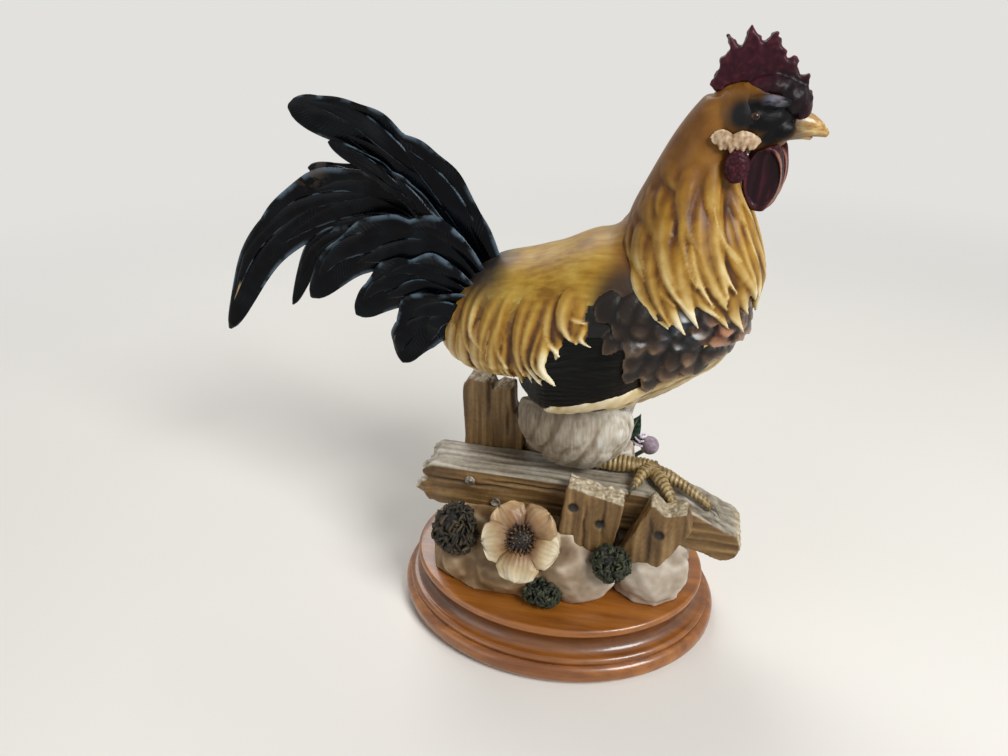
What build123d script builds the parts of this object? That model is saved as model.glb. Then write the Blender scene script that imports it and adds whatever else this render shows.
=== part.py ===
from build123d import *
import math
import os

# A painted cast-resin rooster that perches on a broken rail fence, on rockwork and an oval wooden plinth.
# Millimetres, +Z up, +X the way the rooster faces, origin at the middle of the plinth's underside.

# Plinth, felt and the screws that hold the rockwork
plinth_length = 154.0
plinth_width = 123.0
plinth_height = 25.0
foot_height = 9.0
foot_rounding = 3.6
step_inset = 3.0
step_height = 3.0
cove_inset = 9.5
cove_radius = 4.5
cap_inset = 7.0
cap_height = 4.0
cap_rounding = 1.5
felt_thickness = 1.0
felt_inset = 6.0
screw_radius = 2.0
screw_head_radius = 4.0
screw_head_height = 2.4
screw_length = 34.0
screw_clearance = 0.3
screw_places = [(-28.0, -12.0), (46.0, -8.0), (0.0, 26.0)]

# Rockwork
rock_sides = 11
rock_roughness = 0.09
rock_crown = 0.78
rock_height = 33.0
right_rock_share = 0.8
rock_bed_overlap = 3.0
main_rock = dict(x=-14.0, y=-13.0, half_length=44.0, half_width=26.0, turn=0.3)
right_rock = dict(x=43.0, y=-9.0, half_length=18.0, half_width=22.0, turn=1.1)
rear_rock = dict(x=-2.0, y=22.0, half_length=41.0, half_width=20.0, turn=2.0)

# Rail and posts of the fence
rail_left = -63.0
rail_shoulder = 38.0
rail_right = 83.0
rail_droop = 21.0
rail_tip_radius = 8.0
rail_height = 21.0
rail_depth = 23.0
rail_front = -17.0
rail_chip = 6.0
rail_break = (0.35, 0.6, 0.85)
rail_top_bow = 2.0
rail_under_bow = 1.0
post_thickness = 11.0
post_seat = 14.0
splinter = 1.0
rear_post_width = 28.0
rear_post_x = -34.0
rear_post_rise = 35.0
rear_post_step = 5.0
front_post_width = 26.0
front_post_x = 18.0
front_post_rise = 7.0
front_post_fall = 6.0
stake_width = 19.0
stake_foot_x = 39.0
stake_lean = 9.0
stake_notch = 4.0
nail_head_radius = 2.3
nail_head_height = 1.1
nail_radius = 0.9
nail_length = 9.0
nail_drops = [(-39.0, 5.0), (-27.0, 15.0)]

# Flower, moss and the plant behind
flower_x = -10.0
flower_y = -37.0
flower_drop = 18.0
flower_facing = 40.0
petal_count = 5
petal_length = 18.5
petal_width = 16.0
petal_thickness = 3.2
petal_gap = 0.3
petal_tuck = 3.0
first_petal_turn = 270.0
flower_centre_radius = 5.5
flower_centre_height = 4.5
flower_peg_radius = 2.2
flower_peg_length = 30.0
moss_sizes = dict(left=(9.0, 9.0, 12.0), front=(8.0, 7.0, 7.0), right=(8.0, 7.0, 7.5))
moss_places = dict(left=(-42.0, -31.0), front=(0.0, -37.0), right=(29.0, -34.0))
moss_left_drop = 2.0
moss_right_drop = 5.0
moss_front_rise = 5.0
leaf_length = 22.0
leaf_width = 11.0
leaf_thickness = 2.2
leaf_root = 8.0
leaf_bend = (26.0, 29.0, 33.0)
leaf_behind = 2.0
blossom_radius = 4.5
blossom_stem_radius = 1.1
blossom_rise = 4.0
blossom_x = 39.0
blossom_ahead = 2.0
stem_x = 28.0
stem_behind = 5.0

# Rooster's body, wings and legs; heights are above the rail's top
rooster_y = 8.0
body_x = 6.5
body_rise = 65.5
body_length = 131.0
body_width = 74.0
body_height = 76.0
body_tilt = 6.0
body_taper = 0.12
wing_thickness = 3.5
wing_x = 8.0
wing_drop = 7.0
wing_length = 82.0
wing_height = 36.0
wing_tilt = 14.0
thigh_x = 6.0
thigh_length = 50.0
thigh_width = 26.0
thigh_height = 46.0
thigh_spread = 14.0
thigh_lift = 2.0
leg_spread = 9.0
shank_radius = 4.2
toe_radius = 3.3
toe_tip_radius = 1.6
right_shank_length = 34.0
left_shank_length = 18.0
right_leg_x = 10.0
left_leg_x = -9.0
toe_seat = 3.0
toe_arch = 2.0
# Each toe tip: ahead of the shank, beside the leg, drop
right_toes = [(-9.0, -13.0, 2.0), (10.0, -14.0, 13.0), (22.0, -7.0, 17.0)]
left_toes = [(12.0, -9.0, 2.0), (15.0, 0.0, 2.0), (10.0, 8.0, 2.0)]
rod_radius = 1.5
rod_length = 62.0
rod_seat = 14.0

# Rooster's neck and head
neck_rise = 72.0
neck_height = 90.0
neck_x = 41.0
neck_reach = 13.0
neck_base_length = 64.0
neck_base_width = 60.0
neck_top_length = 16.0
neck_top_width = 15.0
neck_taper = 1.5
neck_rings = 7
neck_dowel_radius = 3.0
neck_dowel_length = 56.0
neck_dowel_rise = 20.0
head_x = 62.5
head_rise = 154.5
head_length = 33.0
head_width = 24.0
head_height = 25.0
head_tilt = 10.0
comb_thickness = 6.0
# Comb outline from the head's centre: tips and notches from the nape to the beak, then the seat in the head
comb_nape = (-11.0, 5.0)
comb_tips = [(-15.5, 11.5), (-13.5, 19.5), (-11.5, 27.5), (-4, 30.5), (4.5, 28.5), (12, 21), (17.5, 15)]
comb_front_tip = (20.5, 8.0)
comb_notches = [(-12.5, 16.5), (-9.5, 21.5), (-6, 23), (1, 25), (10, 19), (14.5, 14.5), (18, 10)]
comb_seat = [(18.5, 0.5), (9.0, -1.0)]
beak_reach = 15.0
beak_base_radius = 5.2
beak_tip_radius = 0.9
beak_seat = 4.0
beak_bend = 0.35
beak_bend_share = 0.65
beak_hook = 0.5
upper_beak_drop = 1.5
lower_beak_drop = 5.5
lower_beak_radius = 3.4
lower_beak_share = 0.75
eye_radius = 2.8
eye_x = 1.0
eye_rise = 2.0
face_inset = 1.0
tuft_size = (15.0, 5.0, 8.0)
lobe_size = (9.0, 6.0, 12.0)
wattle_size = (14.5, 6.0, 27.0)
# Face pieces: ahead of the head's centre, drop below it
tuft_spot = (-5.0, 6.0)
lobe_spot = (-3.0, 15.0)
wattle_spot = (7.0, 19.0)

# Tail: feathers stand side by side in layers across the rooster
feather_thickness = 2.6
feather_gap = 0.4
feather_sections = 7
feather_root_share = 0.5
feather_tip_share = 0.14
feather_widest = 0.42
feather_edge_share = 0.55
feather_tip_power = 0.7
tail_root = (-35.0, 5.0)
# Each feather: layer from the middle, width, then places from the body's centre
tail_feathers = dict(
    lower_covert=(-4, 24, (-62, 4), (-74, -7), (-80, -21)),
    side_covert=(-3, 24, (-64, 17), (-83, 14), (-102, -1)),
    near_sickle=(-2, 25, (-60, 30), (-80, 33), (-104, 25), (-125, 4)),
    near_blade=(-1, 11, (-69, 45), (-88, 61), (-110, 73)),
    top_sickle=(0, 25, (-55, 43), (-77, 65), (-101, 79), (-128, 86)),
    great_sickle=(1, 27, (-74, 43), (-111, 47), (-148, 25), (-177, -21)),
    inner_sickle=(2, 15, (-72, 33), (-98, 34), (-125, 23), (-142, -6)),
    far_blade=(3, 13, (-77, 44), (-104, 55), (-127, 59)),
)

# Rounded castings: rings of each, and the share of a half turn left flat at each end
egg_rings = 10
egg_end = 0.04

# Levels and places that follow from the sizes
plinth_top = felt_thickness + plinth_height
rail_bottom = plinth_top + rock_height - rock_bed_overlap
perch = rail_bottom + rail_height
rail_back = rail_front + rail_depth
body_centre = Vector(body_x, rooster_y, perch + body_rise)
head_centre = Vector(head_x, rooster_y, perch + head_rise)


def ellipsoid(centre, size, tilt=0.0, taper=0.0):
    """An egg of the given full sizes, nose up by tilt degrees, fuller in front by the taper."""
    sections = []
    for step in range(egg_rings + 1):
        angle = math.pi * (egg_end + (1 - 2 * egg_end) * step / egg_rings)
        swell = math.sin(angle) * (1 - taper * math.cos(angle))
        half_width = size[1] / 2 * swell
        half_height = size[2] / 2 * swell
        upper = EllipticalCenterArc((0, 0), half_width, half_height, start_angle=0, arc_size=180)
        lower = EllipticalCenterArc((0, 0), half_width, half_height, start_angle=180, arc_size=180)
        spot = (-size[0] / 2 * math.cos(angle), 0, 0)
        ring_plane = Plane(origin=spot, x_dir=(0, 1, 0), z_dir=(1, 0, 0))
        sections.append(ring_plane * make_face(Curve() + [upper, lower]))
    return Pos(*centre) * Rot(0, -tilt, 0) * loft(sections)


def plate(points, front, depth):
    """A slab across Y: the outline of (x, z) points, from its front face back by depth."""
    face_plane = Plane(origin=(0, front, 0), x_dir=(1, 0, 0), z_dir=(0, -1, 0))
    return extrude(face_plane * make_face(Polyline(*points, close=True)), amount=-depth)


def rod(start, end, radius):
    """A round bar from start to end."""
    run = Vector(*end) - Vector(*start)
    return extrude(Plane(origin=start, z_dir=run) * Circle(radius), amount=run.length)


def tapered_rod(points, radii):
    """A smooth tapered bar through points, one radius for each."""
    spine = Spline(*points) if len(points) > 2 else Line(*points)
    steps = len(points) - 1
    sections = []
    for index, radius in enumerate(radii):
        spot = Vector(*points[index])
        along = spine.tangent_at(index / steps)
        sections.append(Plane(origin=spot, z_dir=along) * Circle(radius))
    return loft(sections)


def one_solid(shape):
    """The largest solid of a shape, so that a cut leaves no crumbs."""
    return max(shape.solids(), key=lambda solid: solid.volume)


def cut(shape, *others):
    """The shape without whatever it shares with the others."""
    for other in others:
        shape = shape - other
    return one_solid(shape)


def oval(inset, bottom, top):
    """One oval layer of the plinth."""
    outline = Ellipse(plinth_length / 2 - inset, plinth_width / 2 - inset)
    return Pos(0, 0, bottom) * extrude(outline, amount=top - bottom)


def make_plinth():
    """The turned oval plinth: rounded foot, step, cove and cap."""
    base = felt_thickness
    step_bottom = base + foot_height
    wall_bottom = step_bottom + step_height
    cap_bottom = plinth_top - cap_height
    foot = oval(0, base, step_bottom)
    foot = fillet(foot.edges(), foot_rounding)
    waist = oval(step_inset, step_bottom, wall_bottom) + oval(cove_inset, wall_bottom, cap_bottom)
    inner_edges = waist.edges().filter_by_position(Axis.Z, wall_bottom, wall_bottom)
    waist = fillet(inner_edges.sort_by(SortBy.LENGTH)[0], cove_radius)
    cap = oval(cap_inset, cap_bottom, plinth_top)
    cap = fillet(cap.edges(), cap_rounding)
    return foot + waist + cap


def make_screw(x, y):
    """One countersunk screw from the plinth's underside, with its head on the felt."""
    base = felt_thickness
    head = Pos(x, y, base + screw_head_height / 2) * Cone(screw_head_radius, screw_radius, screw_head_height)
    return head + rod((x, y, base), (x, y, base + screw_length), screw_radius)


def boulder(rock, height):
    """A faceted boulder: three rough rings of corners joined by flat-sided stone."""
    rings = []
    for level, share in ((0.0, 1.0), (0.5, (1.0 + rock_crown) / 2 + rock_roughness / 2), (1.0, rock_crown)):
        corners = []
        for index in range(rock_sides):
            angle = 2 * math.pi * index / rock_sides + rock["turn"]
            rough = 1 + rock_roughness * math.sin(7.3 * index + 5 * rock["turn"] + 3 * level)
            x = rock["x"] + rock["half_length"] * share * rough * math.cos(angle)
            y = rock["y"] + rock["half_width"] * share * rough * math.sin(angle)
            corners.append((x, y))
        ring = make_face(Polyline(*corners, close=True))
        rings.append(Pos(0, 0, plinth_top + level * height) * ring)
    return loft(rings, ruled=True)


def make_rail():
    """The rail: broken at the left, level under the rooster and drooping to a rounded right end."""
    tip_x = rail_right - rail_tip_radius
    tip_z = perch - rail_droop
    middle = (rail_shoulder + tip_x) / 2
    tip_top = (tip_x, tip_z + rail_tip_radius)
    tip_low = (tip_x, tip_z - rail_tip_radius)
    top = Line((rail_left + rail_chip, perch), (rail_shoulder, perch))
    droop = Spline((rail_shoulder, perch), (middle, (perch + tip_top[1]) / 2 + rail_top_bow), tip_top)
    tip = ThreePointArc(tip_top, (rail_right, tip_z), tip_low)
    under_middle = (middle, (rail_bottom + tip_low[1]) / 2 + rail_under_bow)
    under = Spline(tip_low, under_middle, (rail_shoulder, rail_bottom))
    bottom = Line((rail_shoulder, rail_bottom), (rail_left + rail_chip / 2, rail_bottom))
    broken_end = Polyline(
        (rail_left + rail_chip / 2, rail_bottom),
        (rail_left - rail_chip / 2, rail_bottom + rail_height * rail_break[0]),
        (rail_left + rail_chip / 2, rail_bottom + rail_height * rail_break[1]),
        (rail_left, rail_bottom + rail_height * rail_break[2]),
        (rail_left + rail_chip, perch),
    )
    face_plane = Plane(origin=(0, rail_front, 0), x_dir=(1, 0, 0), z_dir=(0, -1, 0))
    outline = make_face(Curve() + [top, droop, tip, under, bottom, broken_end])
    return extrude(face_plane * outline, amount=-rail_depth)


def make_rear_post():
    """The tall post nailed behind the rail, with a stepped broken top."""
    left = rear_post_x - rear_post_width / 2
    right = rear_post_x + rear_post_width / 2
    top = perch + rear_post_rise
    low = rail_bottom - post_seat
    outline = [
        (left, low),
        (left - splinter, top - rear_post_step),
        (left + 2 * splinter, top),
        (rear_post_x - splinter, top - splinter),
        (rear_post_x, top - rear_post_step),
        (rear_post_x + 3 * splinter, top - 2 * splinter),
        (right - 5 * splinter, top - 3 * splinter),
        (right - 4 * splinter, top - 3 * rear_post_step),
        (right, top - 4 * rear_post_step),
        (right, low),
    ]
    return plate(outline, rail_back, post_thickness)


def make_front_post():
    """The short post in front of the rail, sawn off at a slant."""
    half = front_post_width / 2
    top = perch + front_post_rise
    low = rail_bottom - post_seat
    outline = [
        (front_post_x - half - 2 * splinter, low),
        (front_post_x - half + splinter, top),
        (front_post_x + half, top - front_post_fall),
        (front_post_x + half - 3 * splinter, low),
    ]
    return plate(outline, rail_front - post_thickness, post_thickness)


def make_stake():
    """The leaning stake under the right foot, with a notch in its top."""
    left = stake_foot_x - stake_width / 2 + 2 * splinter
    right = stake_foot_x + stake_width / 2
    low = rail_bottom - post_seat
    top = perch - 2 * splinter
    outline = [
        (left, low),
        (left + stake_lean, top),
        (left + stake_lean + 6 * splinter, top - stake_notch),
        (right + stake_lean - 4 * splinter, top - stake_notch / 2),
        (right + stake_lean, top - 2 * stake_notch),
        (right, low),
    ]
    return plate(outline, rail_front - post_thickness, post_thickness)


def make_nail(x, drop):
    """One nail driven into the rail's front face, drop below the rail's top."""
    z = perch - drop
    head = rod((x, rail_front - nail_head_height, z), (x, rail_front, z), nail_head_radius)
    return head + rod((x, rail_front, z), (x, rail_front + nail_length, z), nail_radius)


def flower_plane():
    """The flower's own plane: centre in the flower, z towards the viewer and up."""
    lift = math.radians(flower_facing)
    return Plane(
        origin=(flower_x, flower_y, perch - flower_drop),
        x_dir=(1, 0, 0),
        z_dir=(0, -math.cos(lift), math.sin(lift)),
    )


def make_petal(index):
    """One petal: a flat oval kept within its own share of the ring."""
    turn = 360 / petal_count
    reach = flower_centre_radius + petal_length
    middle = reach - petal_length / 2
    half_angle = math.radians(turn / 2)
    sector = make_face(
        Polyline(
            (petal_gap, 0),
            (2 * reach, 2 * reach * math.tan(half_angle) - petal_gap),
            (2 * reach, petal_gap - 2 * reach * math.tan(half_angle)),
            close=True,
        )
    )
    share = Pos(0, 0, -petal_thickness) * extrude(sector, amount=2 * petal_thickness)
    oval_petal = ellipsoid((middle - petal_tuck, 0, 0), (petal_length, petal_width, petal_thickness))
    petal = oval_petal & share
    return flower_plane() * Rot(0, 0, first_petal_turn + turn * index) * petal


def make_flower_centre():
    """The seedy boss of the flower on the peg that holds it in the rock."""
    boss = ellipsoid((0, 0, 0), (2 * flower_centre_radius, 2 * flower_centre_radius, 2 * flower_centre_height))
    peg = rod((0, 0, 0), (0, 0, -flower_peg_length), flower_peg_radius)
    return flower_plane() * (boss + peg)


def blade_share(share):
    """Half-width of a feather as a share of its largest, from its root (0) to its tip (1)."""
    if share < feather_widest:
        swell = math.sin(math.pi / 2 * share / feather_widest)
        return feather_root_share + (1 - feather_root_share) * swell
    fade = math.cos(math.pi / 2 * (share - feather_widest) / (1 - feather_widest))
    return feather_tip_share + (1 - feather_tip_share) * fade ** feather_tip_power


def blade(points, y, width, thickness):
    """A leaf or feather: lens-shaped sections lofted along a curve in a plane of constant y."""
    spine = Spline(*[(x, y, z) for x, z in points])
    sections = []
    for step in range(feather_sections + 1):
        share = step / feather_sections
        half = width / 2 * blade_share(share)
        bulge = thickness / 2 * (feather_edge_share + (1 - feather_edge_share) * blade_share(share))
        spot = spine.position_at(share)
        along = spine.tangent_at(share)
        across = Vector(0, 1, 0).cross(along)
        upper = ThreePointArc((-half, 0), (0, bulge), (half, 0))
        lower = ThreePointArc((half, 0), (0, -bulge), (-half, 0))
        section = make_face(Curve() + [upper, lower])
        sections.append(Plane(origin=spot, x_dir=across, z_dir=along) * section)
    return loft(sections)


def tail_feather(layer, width, *places):
    """A tail feather in its layer, through places given from the body's centre."""
    y = rooster_y + layer * (feather_thickness + feather_gap)
    points = [(body_centre.X + x, body_centre.Z + z) for x, z in (tail_root, *places)]
    return blade(points, y, width, feather_thickness)


def make_tail():
    """The tail feathers, from the near side (right) to the far side."""
    return {"tail_" + name: tail_feather(*feather) for name, feather in tail_feathers.items()}


def make_body():
    """The egg-shaped body casting."""
    return ellipsoid(body_centre, (body_length, body_width, body_height), body_tilt, body_taper)


def make_wing(body, side):
    """A folded wing: a skin on the body within an oval outline; side is -1 for right and 1 for left."""
    grown = ellipsoid(
        body_centre,
        (body_length + 2 * wing_thickness, body_width + 2 * wing_thickness, body_height + 2 * wing_thickness),
        body_tilt,
        body_taper,
    )
    outline_plane = Plane(
        origin=(wing_x, rooster_y, body_centre.Z - wing_drop),
        x_dir=(1, 0, 0),
        z_dir=(0, -1, 0),
    )
    outline = outline_plane * Rot(0, 0, wing_tilt) * Ellipse(wing_length / 2, wing_height / 2)
    reach = extrude(outline, amount=-side * body_width)
    return one_solid((reach & grown) - body)


def make_thigh(side):
    """A feathered thigh that hangs from the body to just above the perch."""
    y = rooster_y + side * thigh_spread
    return ellipsoid((thigh_x, y, perch + thigh_height / 2 + thigh_lift), (thigh_length, thigh_width, thigh_height))


def make_foot(leg_x, y, shank_length, toe_tips):
    """A shank lying forward over the perch and the toes that spread from it."""
    height = perch + shank_radius
    front = leg_x + shank_length
    foot = tapered_rod([(leg_x, y, height), (front, y, height)], [shank_radius, toe_radius])
    start = (front - toe_seat, y, height)
    for ahead, beside, drop in toe_tips:
        tip = (front + ahead, y + beside, height - drop)
        middle = ((start[0] + tip[0]) / 2, y + beside / 2, (height + tip[2]) / 2 + toe_arch)
        foot = foot + tapered_rod([start, middle, tip], [toe_radius, toe_radius, toe_tip_radius])
    return foot


def make_neck():
    """The hackle: rings that narrow and lean forward from the shoulders to the head."""
    rings = []
    for step in range(neck_rings + 1):
        share = step / neck_rings
        spread = 1 - share ** neck_taper
        length = neck_top_length + (neck_base_length - neck_top_length) * spread
        width = neck_top_width + (neck_base_width - neck_top_width) * spread
        x = neck_x + neck_reach * share ** 3
        z = perch + neck_rise + neck_height * share
        rings.append(Pos(x, rooster_y, z) * Ellipse(length / 2, width / 2))
    return loft(rings)


def make_comb():
    """The single comb: seven points from the nape to the beak, set into the head."""
    outline = [comb_nape]
    for tip, notch in zip(comb_tips, comb_notches):
        outline += [tip, notch]
    outline += [comb_front_tip, *comb_seat]
    points = [(head_centre.X + x, head_centre.Z + z) for x, z in outline]
    return plate(points, rooster_y - comb_thickness / 2, comb_thickness)


def make_beak(drop, radius, reach):
    """Half of the beak: a cone that hooks down a little from the face."""
    front = head_centre.X + head_length / 2
    height = head_centre.Z - drop
    base = (front - beak_seat, rooster_y, height)
    middle = (front + reach * beak_bend, rooster_y, height)
    tip = (front - beak_seat + reach, rooster_y, height - radius * beak_hook)
    return tapered_rod([base, middle, tip], [radius, radius * beak_bend_share, beak_tip_radius])


def on_head(side, x, drop, out):
    """A place beside the head: x ahead of its centre, drop below it, out from its middle plane."""
    return (head_centre.X + x, rooster_y + side * out, head_centre.Z - drop)


def make_parts():
    """Every sub-part by name, each cut so that it meets its neighbours face to face."""
    parts = {}

    # Fence
    rail = make_rail()
    body = make_body()
    rear_post = cut(make_rear_post(), body)
    front_post = make_front_post()
    stake = make_stake()
    nails = [make_nail(x, drop) for x, drop in nail_drops]

    # Rockwork, plinth and screws
    screws = [make_screw(x, y) for x, y in screw_places]
    flower_centre = make_flower_centre()
    fence = [rail, rear_post, front_post, stake]
    rock_main = cut(boulder(main_rock, rock_height), *fence)
    rock_right = cut(boulder(right_rock, rock_height * right_rock_share), rock_main, *fence)
    rear_height = perch - plinth_top
    rock_rear = cut(boulder(rear_rock, rear_height), rock_main, rock_right, *fence)
    plinth = make_plinth()
    for x, y in screw_places:
        hole = rod((x, y, felt_thickness), (x, y, plinth_top), screw_radius + screw_clearance)
        plinth = cut(plinth, make_screw(x, y), hole)
    felt = Ellipse(plinth_length / 2 - felt_inset, plinth_width / 2 - felt_inset)

    # Rooster
    wing_right = make_wing(body, -1)
    wing_left = make_wing(body, 1)
    neck = cut(make_neck(), body, wing_right, wing_left)
    head = cut(ellipsoid(head_centre, (head_length, head_width, head_height), -head_tilt), neck)
    upper_beak = cut(make_beak(upper_beak_drop, beak_base_radius, beak_reach), head)
    lower_beak = make_beak(lower_beak_drop, lower_beak_radius, beak_reach * lower_beak_share)
    lower_beak = cut(lower_beak, head, upper_beak)
    comb = cut(make_comb(), head, neck, upper_beak)
    tail = make_tail()

    # Legs
    right_y = rooster_y - leg_spread
    left_y = rooster_y + leg_spread
    foot_right = make_foot(right_leg_x, right_y, right_shank_length, right_toes)
    foot_left = make_foot(left_leg_x, left_y, left_shank_length, left_toes)
    thigh_right = cut(make_thigh(-1), body, wing_right, foot_right)
    thigh_left = cut(make_thigh(1), body, wing_left, foot_left)
    foot_right = cut(foot_right, rail, stake, front_post)
    foot_left = cut(foot_left, rail, rock_rear, rear_post)
    rods = []
    for leg_x, y in ((right_leg_x, right_y), (left_leg_x, left_y)):
        x = leg_x + shank_radius
        rods.append(rod((x, y, perch - rod_seat), (x, y, perch - rod_seat + rod_length), rod_radius))

    # Dowel between body and neck
    dowel_middle = (neck_x, rooster_y, perch + neck_rise + neck_dowel_rise)
    dowel_low = (neck_x, rooster_y, dowel_middle[2] - neck_dowel_length / 2)
    dowel_high = (neck_x, rooster_y, dowel_middle[2] + neck_dowel_length / 2)
    dowel = rod(dowel_low, dowel_high, neck_dowel_radius)

    # Sockets for the feathers, rods and dowel
    body = cut(body, *tail.values(), *rods, dowel)
    neck = cut(neck, dowel)
    thigh_right = cut(thigh_right, *rods)
    thigh_left = cut(thigh_left, *rods)
    foot_right = cut(foot_right, *rods)
    foot_left = cut(foot_left, *rods)
    rail = cut(rail, *rods, *nails)
    rock_main = cut(rock_main, *screws, flower_centre)
    rock_right = cut(rock_right, *screws)

    # Face pieces
    for name, side in (("right", -1), ("left", 1)):
        eye = Pos(*on_head(side, eye_x, -eye_rise, head_width / 2 - face_inset)) * Sphere(eye_radius)
        head = cut(head, eye)
        parts["eye_" + name] = eye
        tuft = ellipsoid(on_head(side, *tuft_spot, head_width / 2 - face_inset), tuft_size)
        tuft = cut(tuft, head, neck)
        lobe = ellipsoid(on_head(side, *lobe_spot, head_width / 2 + face_inset), lobe_size)
        lobe = cut(lobe, head, neck, tuft)
        wattle = ellipsoid(on_head(side, *wattle_spot, head_width / 4), wattle_size)
        wattle = cut(wattle, head, neck, lobe, tuft, upper_beak, lower_beak)
        parts["ear_tuft_" + name] = tuft
        parts["ear_lobe_" + name] = lobe
        parts["wattle_" + name] = wattle

    # Flower, moss and the plant behind
    for index in range(petal_count):
        parts["flower_petal_%d" % (index + 1)] = cut(make_petal(index), flower_centre)
    petals = [parts["flower_petal_%d" % (index + 1)] for index in range(petal_count)]
    moss_levels = dict(
        left=rail_bottom - moss_left_drop,
        front=plinth_top + moss_front_rise,
        right=rail_bottom - moss_right_drop,
    )
    for name, level in moss_levels.items():
        size = [2 * half for half in moss_sizes[name]]
        mound = ellipsoid((*moss_places[name], level), size)
        tuft = cut(mound, rock_main, rock_right, plinth, *fence, *petals, flower_centre)
        parts["moss_" + name] = tuft
    leaf_y = rooster_y + 2 * leg_spread + leaf_behind
    leaf_low = perch - leaf_root
    leaf_points = [(x, leaf_low + step * leaf_length / 2) for step, x in enumerate(leaf_bend)]
    leaf = blade(leaf_points, leaf_y, leaf_width, leaf_thickness)
    blossom_spot = (blossom_x, leaf_y - blossom_ahead, perch + blossom_rise)
    blossom = Pos(*blossom_spot) * Sphere(blossom_radius)
    stem_low = (stem_x, leaf_y + stem_behind, perch - 2 * leaf_root)
    blossom = blossom + rod(stem_low, blossom_spot, blossom_stem_radius)
    leaf = cut(leaf, blossom)
    rock_rear = cut(rock_rear, *rods, *screws, leaf, blossom)

    parts.update(
        plinth=plinth,
        felt_pad=extrude(felt, amount=felt_thickness),
        plinth_screws=Compound(children=screws),
        rock_main=rock_main,
        rock_right=rock_right,
        rock_rear=rock_rear,
        fence_rail=rail,
        fence_post_rear=rear_post,
        fence_post_front=front_post,
        fence_stake_right=stake,
        rail_nails=Compound(children=nails),
        flower_centre=flower_centre,
        rear_leaf=leaf,
        rear_blossom=blossom,
        body=body,
        wing_right=wing_right,
        wing_left=wing_left,
        thigh_right=thigh_right,
        thigh_left=thigh_left,
        foot_right=foot_right,
        foot_left=foot_left,
        leg_rods=Compound(children=rods),
        neck_hackle=neck,
        neck_dowel=dowel,
        head=head,
        comb=comb,
        beak_upper=upper_beak,
        beak_lower=lower_beak,
    )
    parts.update(tail)
    return parts


os.makedirs("parts", exist_ok=True)
for name, shape in make_parts().items():
    export_step(shape, "parts/%s.step" % name)
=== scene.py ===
"""A painted cast-resin rooster on a broken rail fence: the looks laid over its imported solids."""
import bisect
import math
import random

import bmesh
import bpy
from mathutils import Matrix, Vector, noise
from mathutils.bvhtree import BVHTree
from mathutils.kdtree import KDTree


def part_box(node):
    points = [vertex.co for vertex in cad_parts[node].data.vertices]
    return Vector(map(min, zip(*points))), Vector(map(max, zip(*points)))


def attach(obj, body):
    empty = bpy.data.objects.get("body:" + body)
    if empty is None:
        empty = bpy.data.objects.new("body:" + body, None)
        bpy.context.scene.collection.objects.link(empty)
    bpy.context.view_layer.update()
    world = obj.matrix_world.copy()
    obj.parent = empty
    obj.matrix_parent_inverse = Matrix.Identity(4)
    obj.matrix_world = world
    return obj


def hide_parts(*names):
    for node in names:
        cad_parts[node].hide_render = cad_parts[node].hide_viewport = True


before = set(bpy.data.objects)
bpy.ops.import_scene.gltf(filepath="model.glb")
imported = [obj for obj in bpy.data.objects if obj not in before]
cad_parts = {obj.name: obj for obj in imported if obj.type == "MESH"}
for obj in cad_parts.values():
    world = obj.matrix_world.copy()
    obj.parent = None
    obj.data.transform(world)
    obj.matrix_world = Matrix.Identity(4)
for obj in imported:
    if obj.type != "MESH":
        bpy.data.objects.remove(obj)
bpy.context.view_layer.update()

# Shapes are modelled in millimetres and brought to metres when a piece is finished.
MM = 0.001
UP = Vector((0, 0, 1))
NEAR = -1
FAR = 1
SIDES = (("right", NEAR), ("left", FAR))


# Paint


def tint(red, green, blue):
    """A paint colour as a chart gives it, 0 to 255, in the renderer's linear light."""
    linear = []
    for part in (red, green, blue):
        share = part / 255
        linear.append(share / 12.92 if share <= 0.04045 else ((share + 0.055) / 1.055) ** 2.4)
    return (*linear, 1.0)


class Value:
    """A shader socket that takes arithmetic: an expression adds its Math nodes."""

    def __init__(self, finish, socket):
        self.finish = finish
        self.socket = socket

    def __add__(self, other):
        return self.finish.math("ADD", self, other)

    def __radd__(self, other):
        return self.finish.math("ADD", other, self)

    def __sub__(self, other):
        return self.finish.math("SUBTRACT", self, other)

    def __rsub__(self, other):
        return self.finish.math("SUBTRACT", other, self)

    def __mul__(self, other):
        return self.finish.math("MULTIPLY", self, other)

    def fade(self, low, high):
        """Nought below low, one above high, eased between."""
        settings = dict(interpolation_type="SMOOTHSTEP")
        return self.finish.node("ShaderNodeMapRange", settings, self, low, high, 0.0, 1.0)


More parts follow.
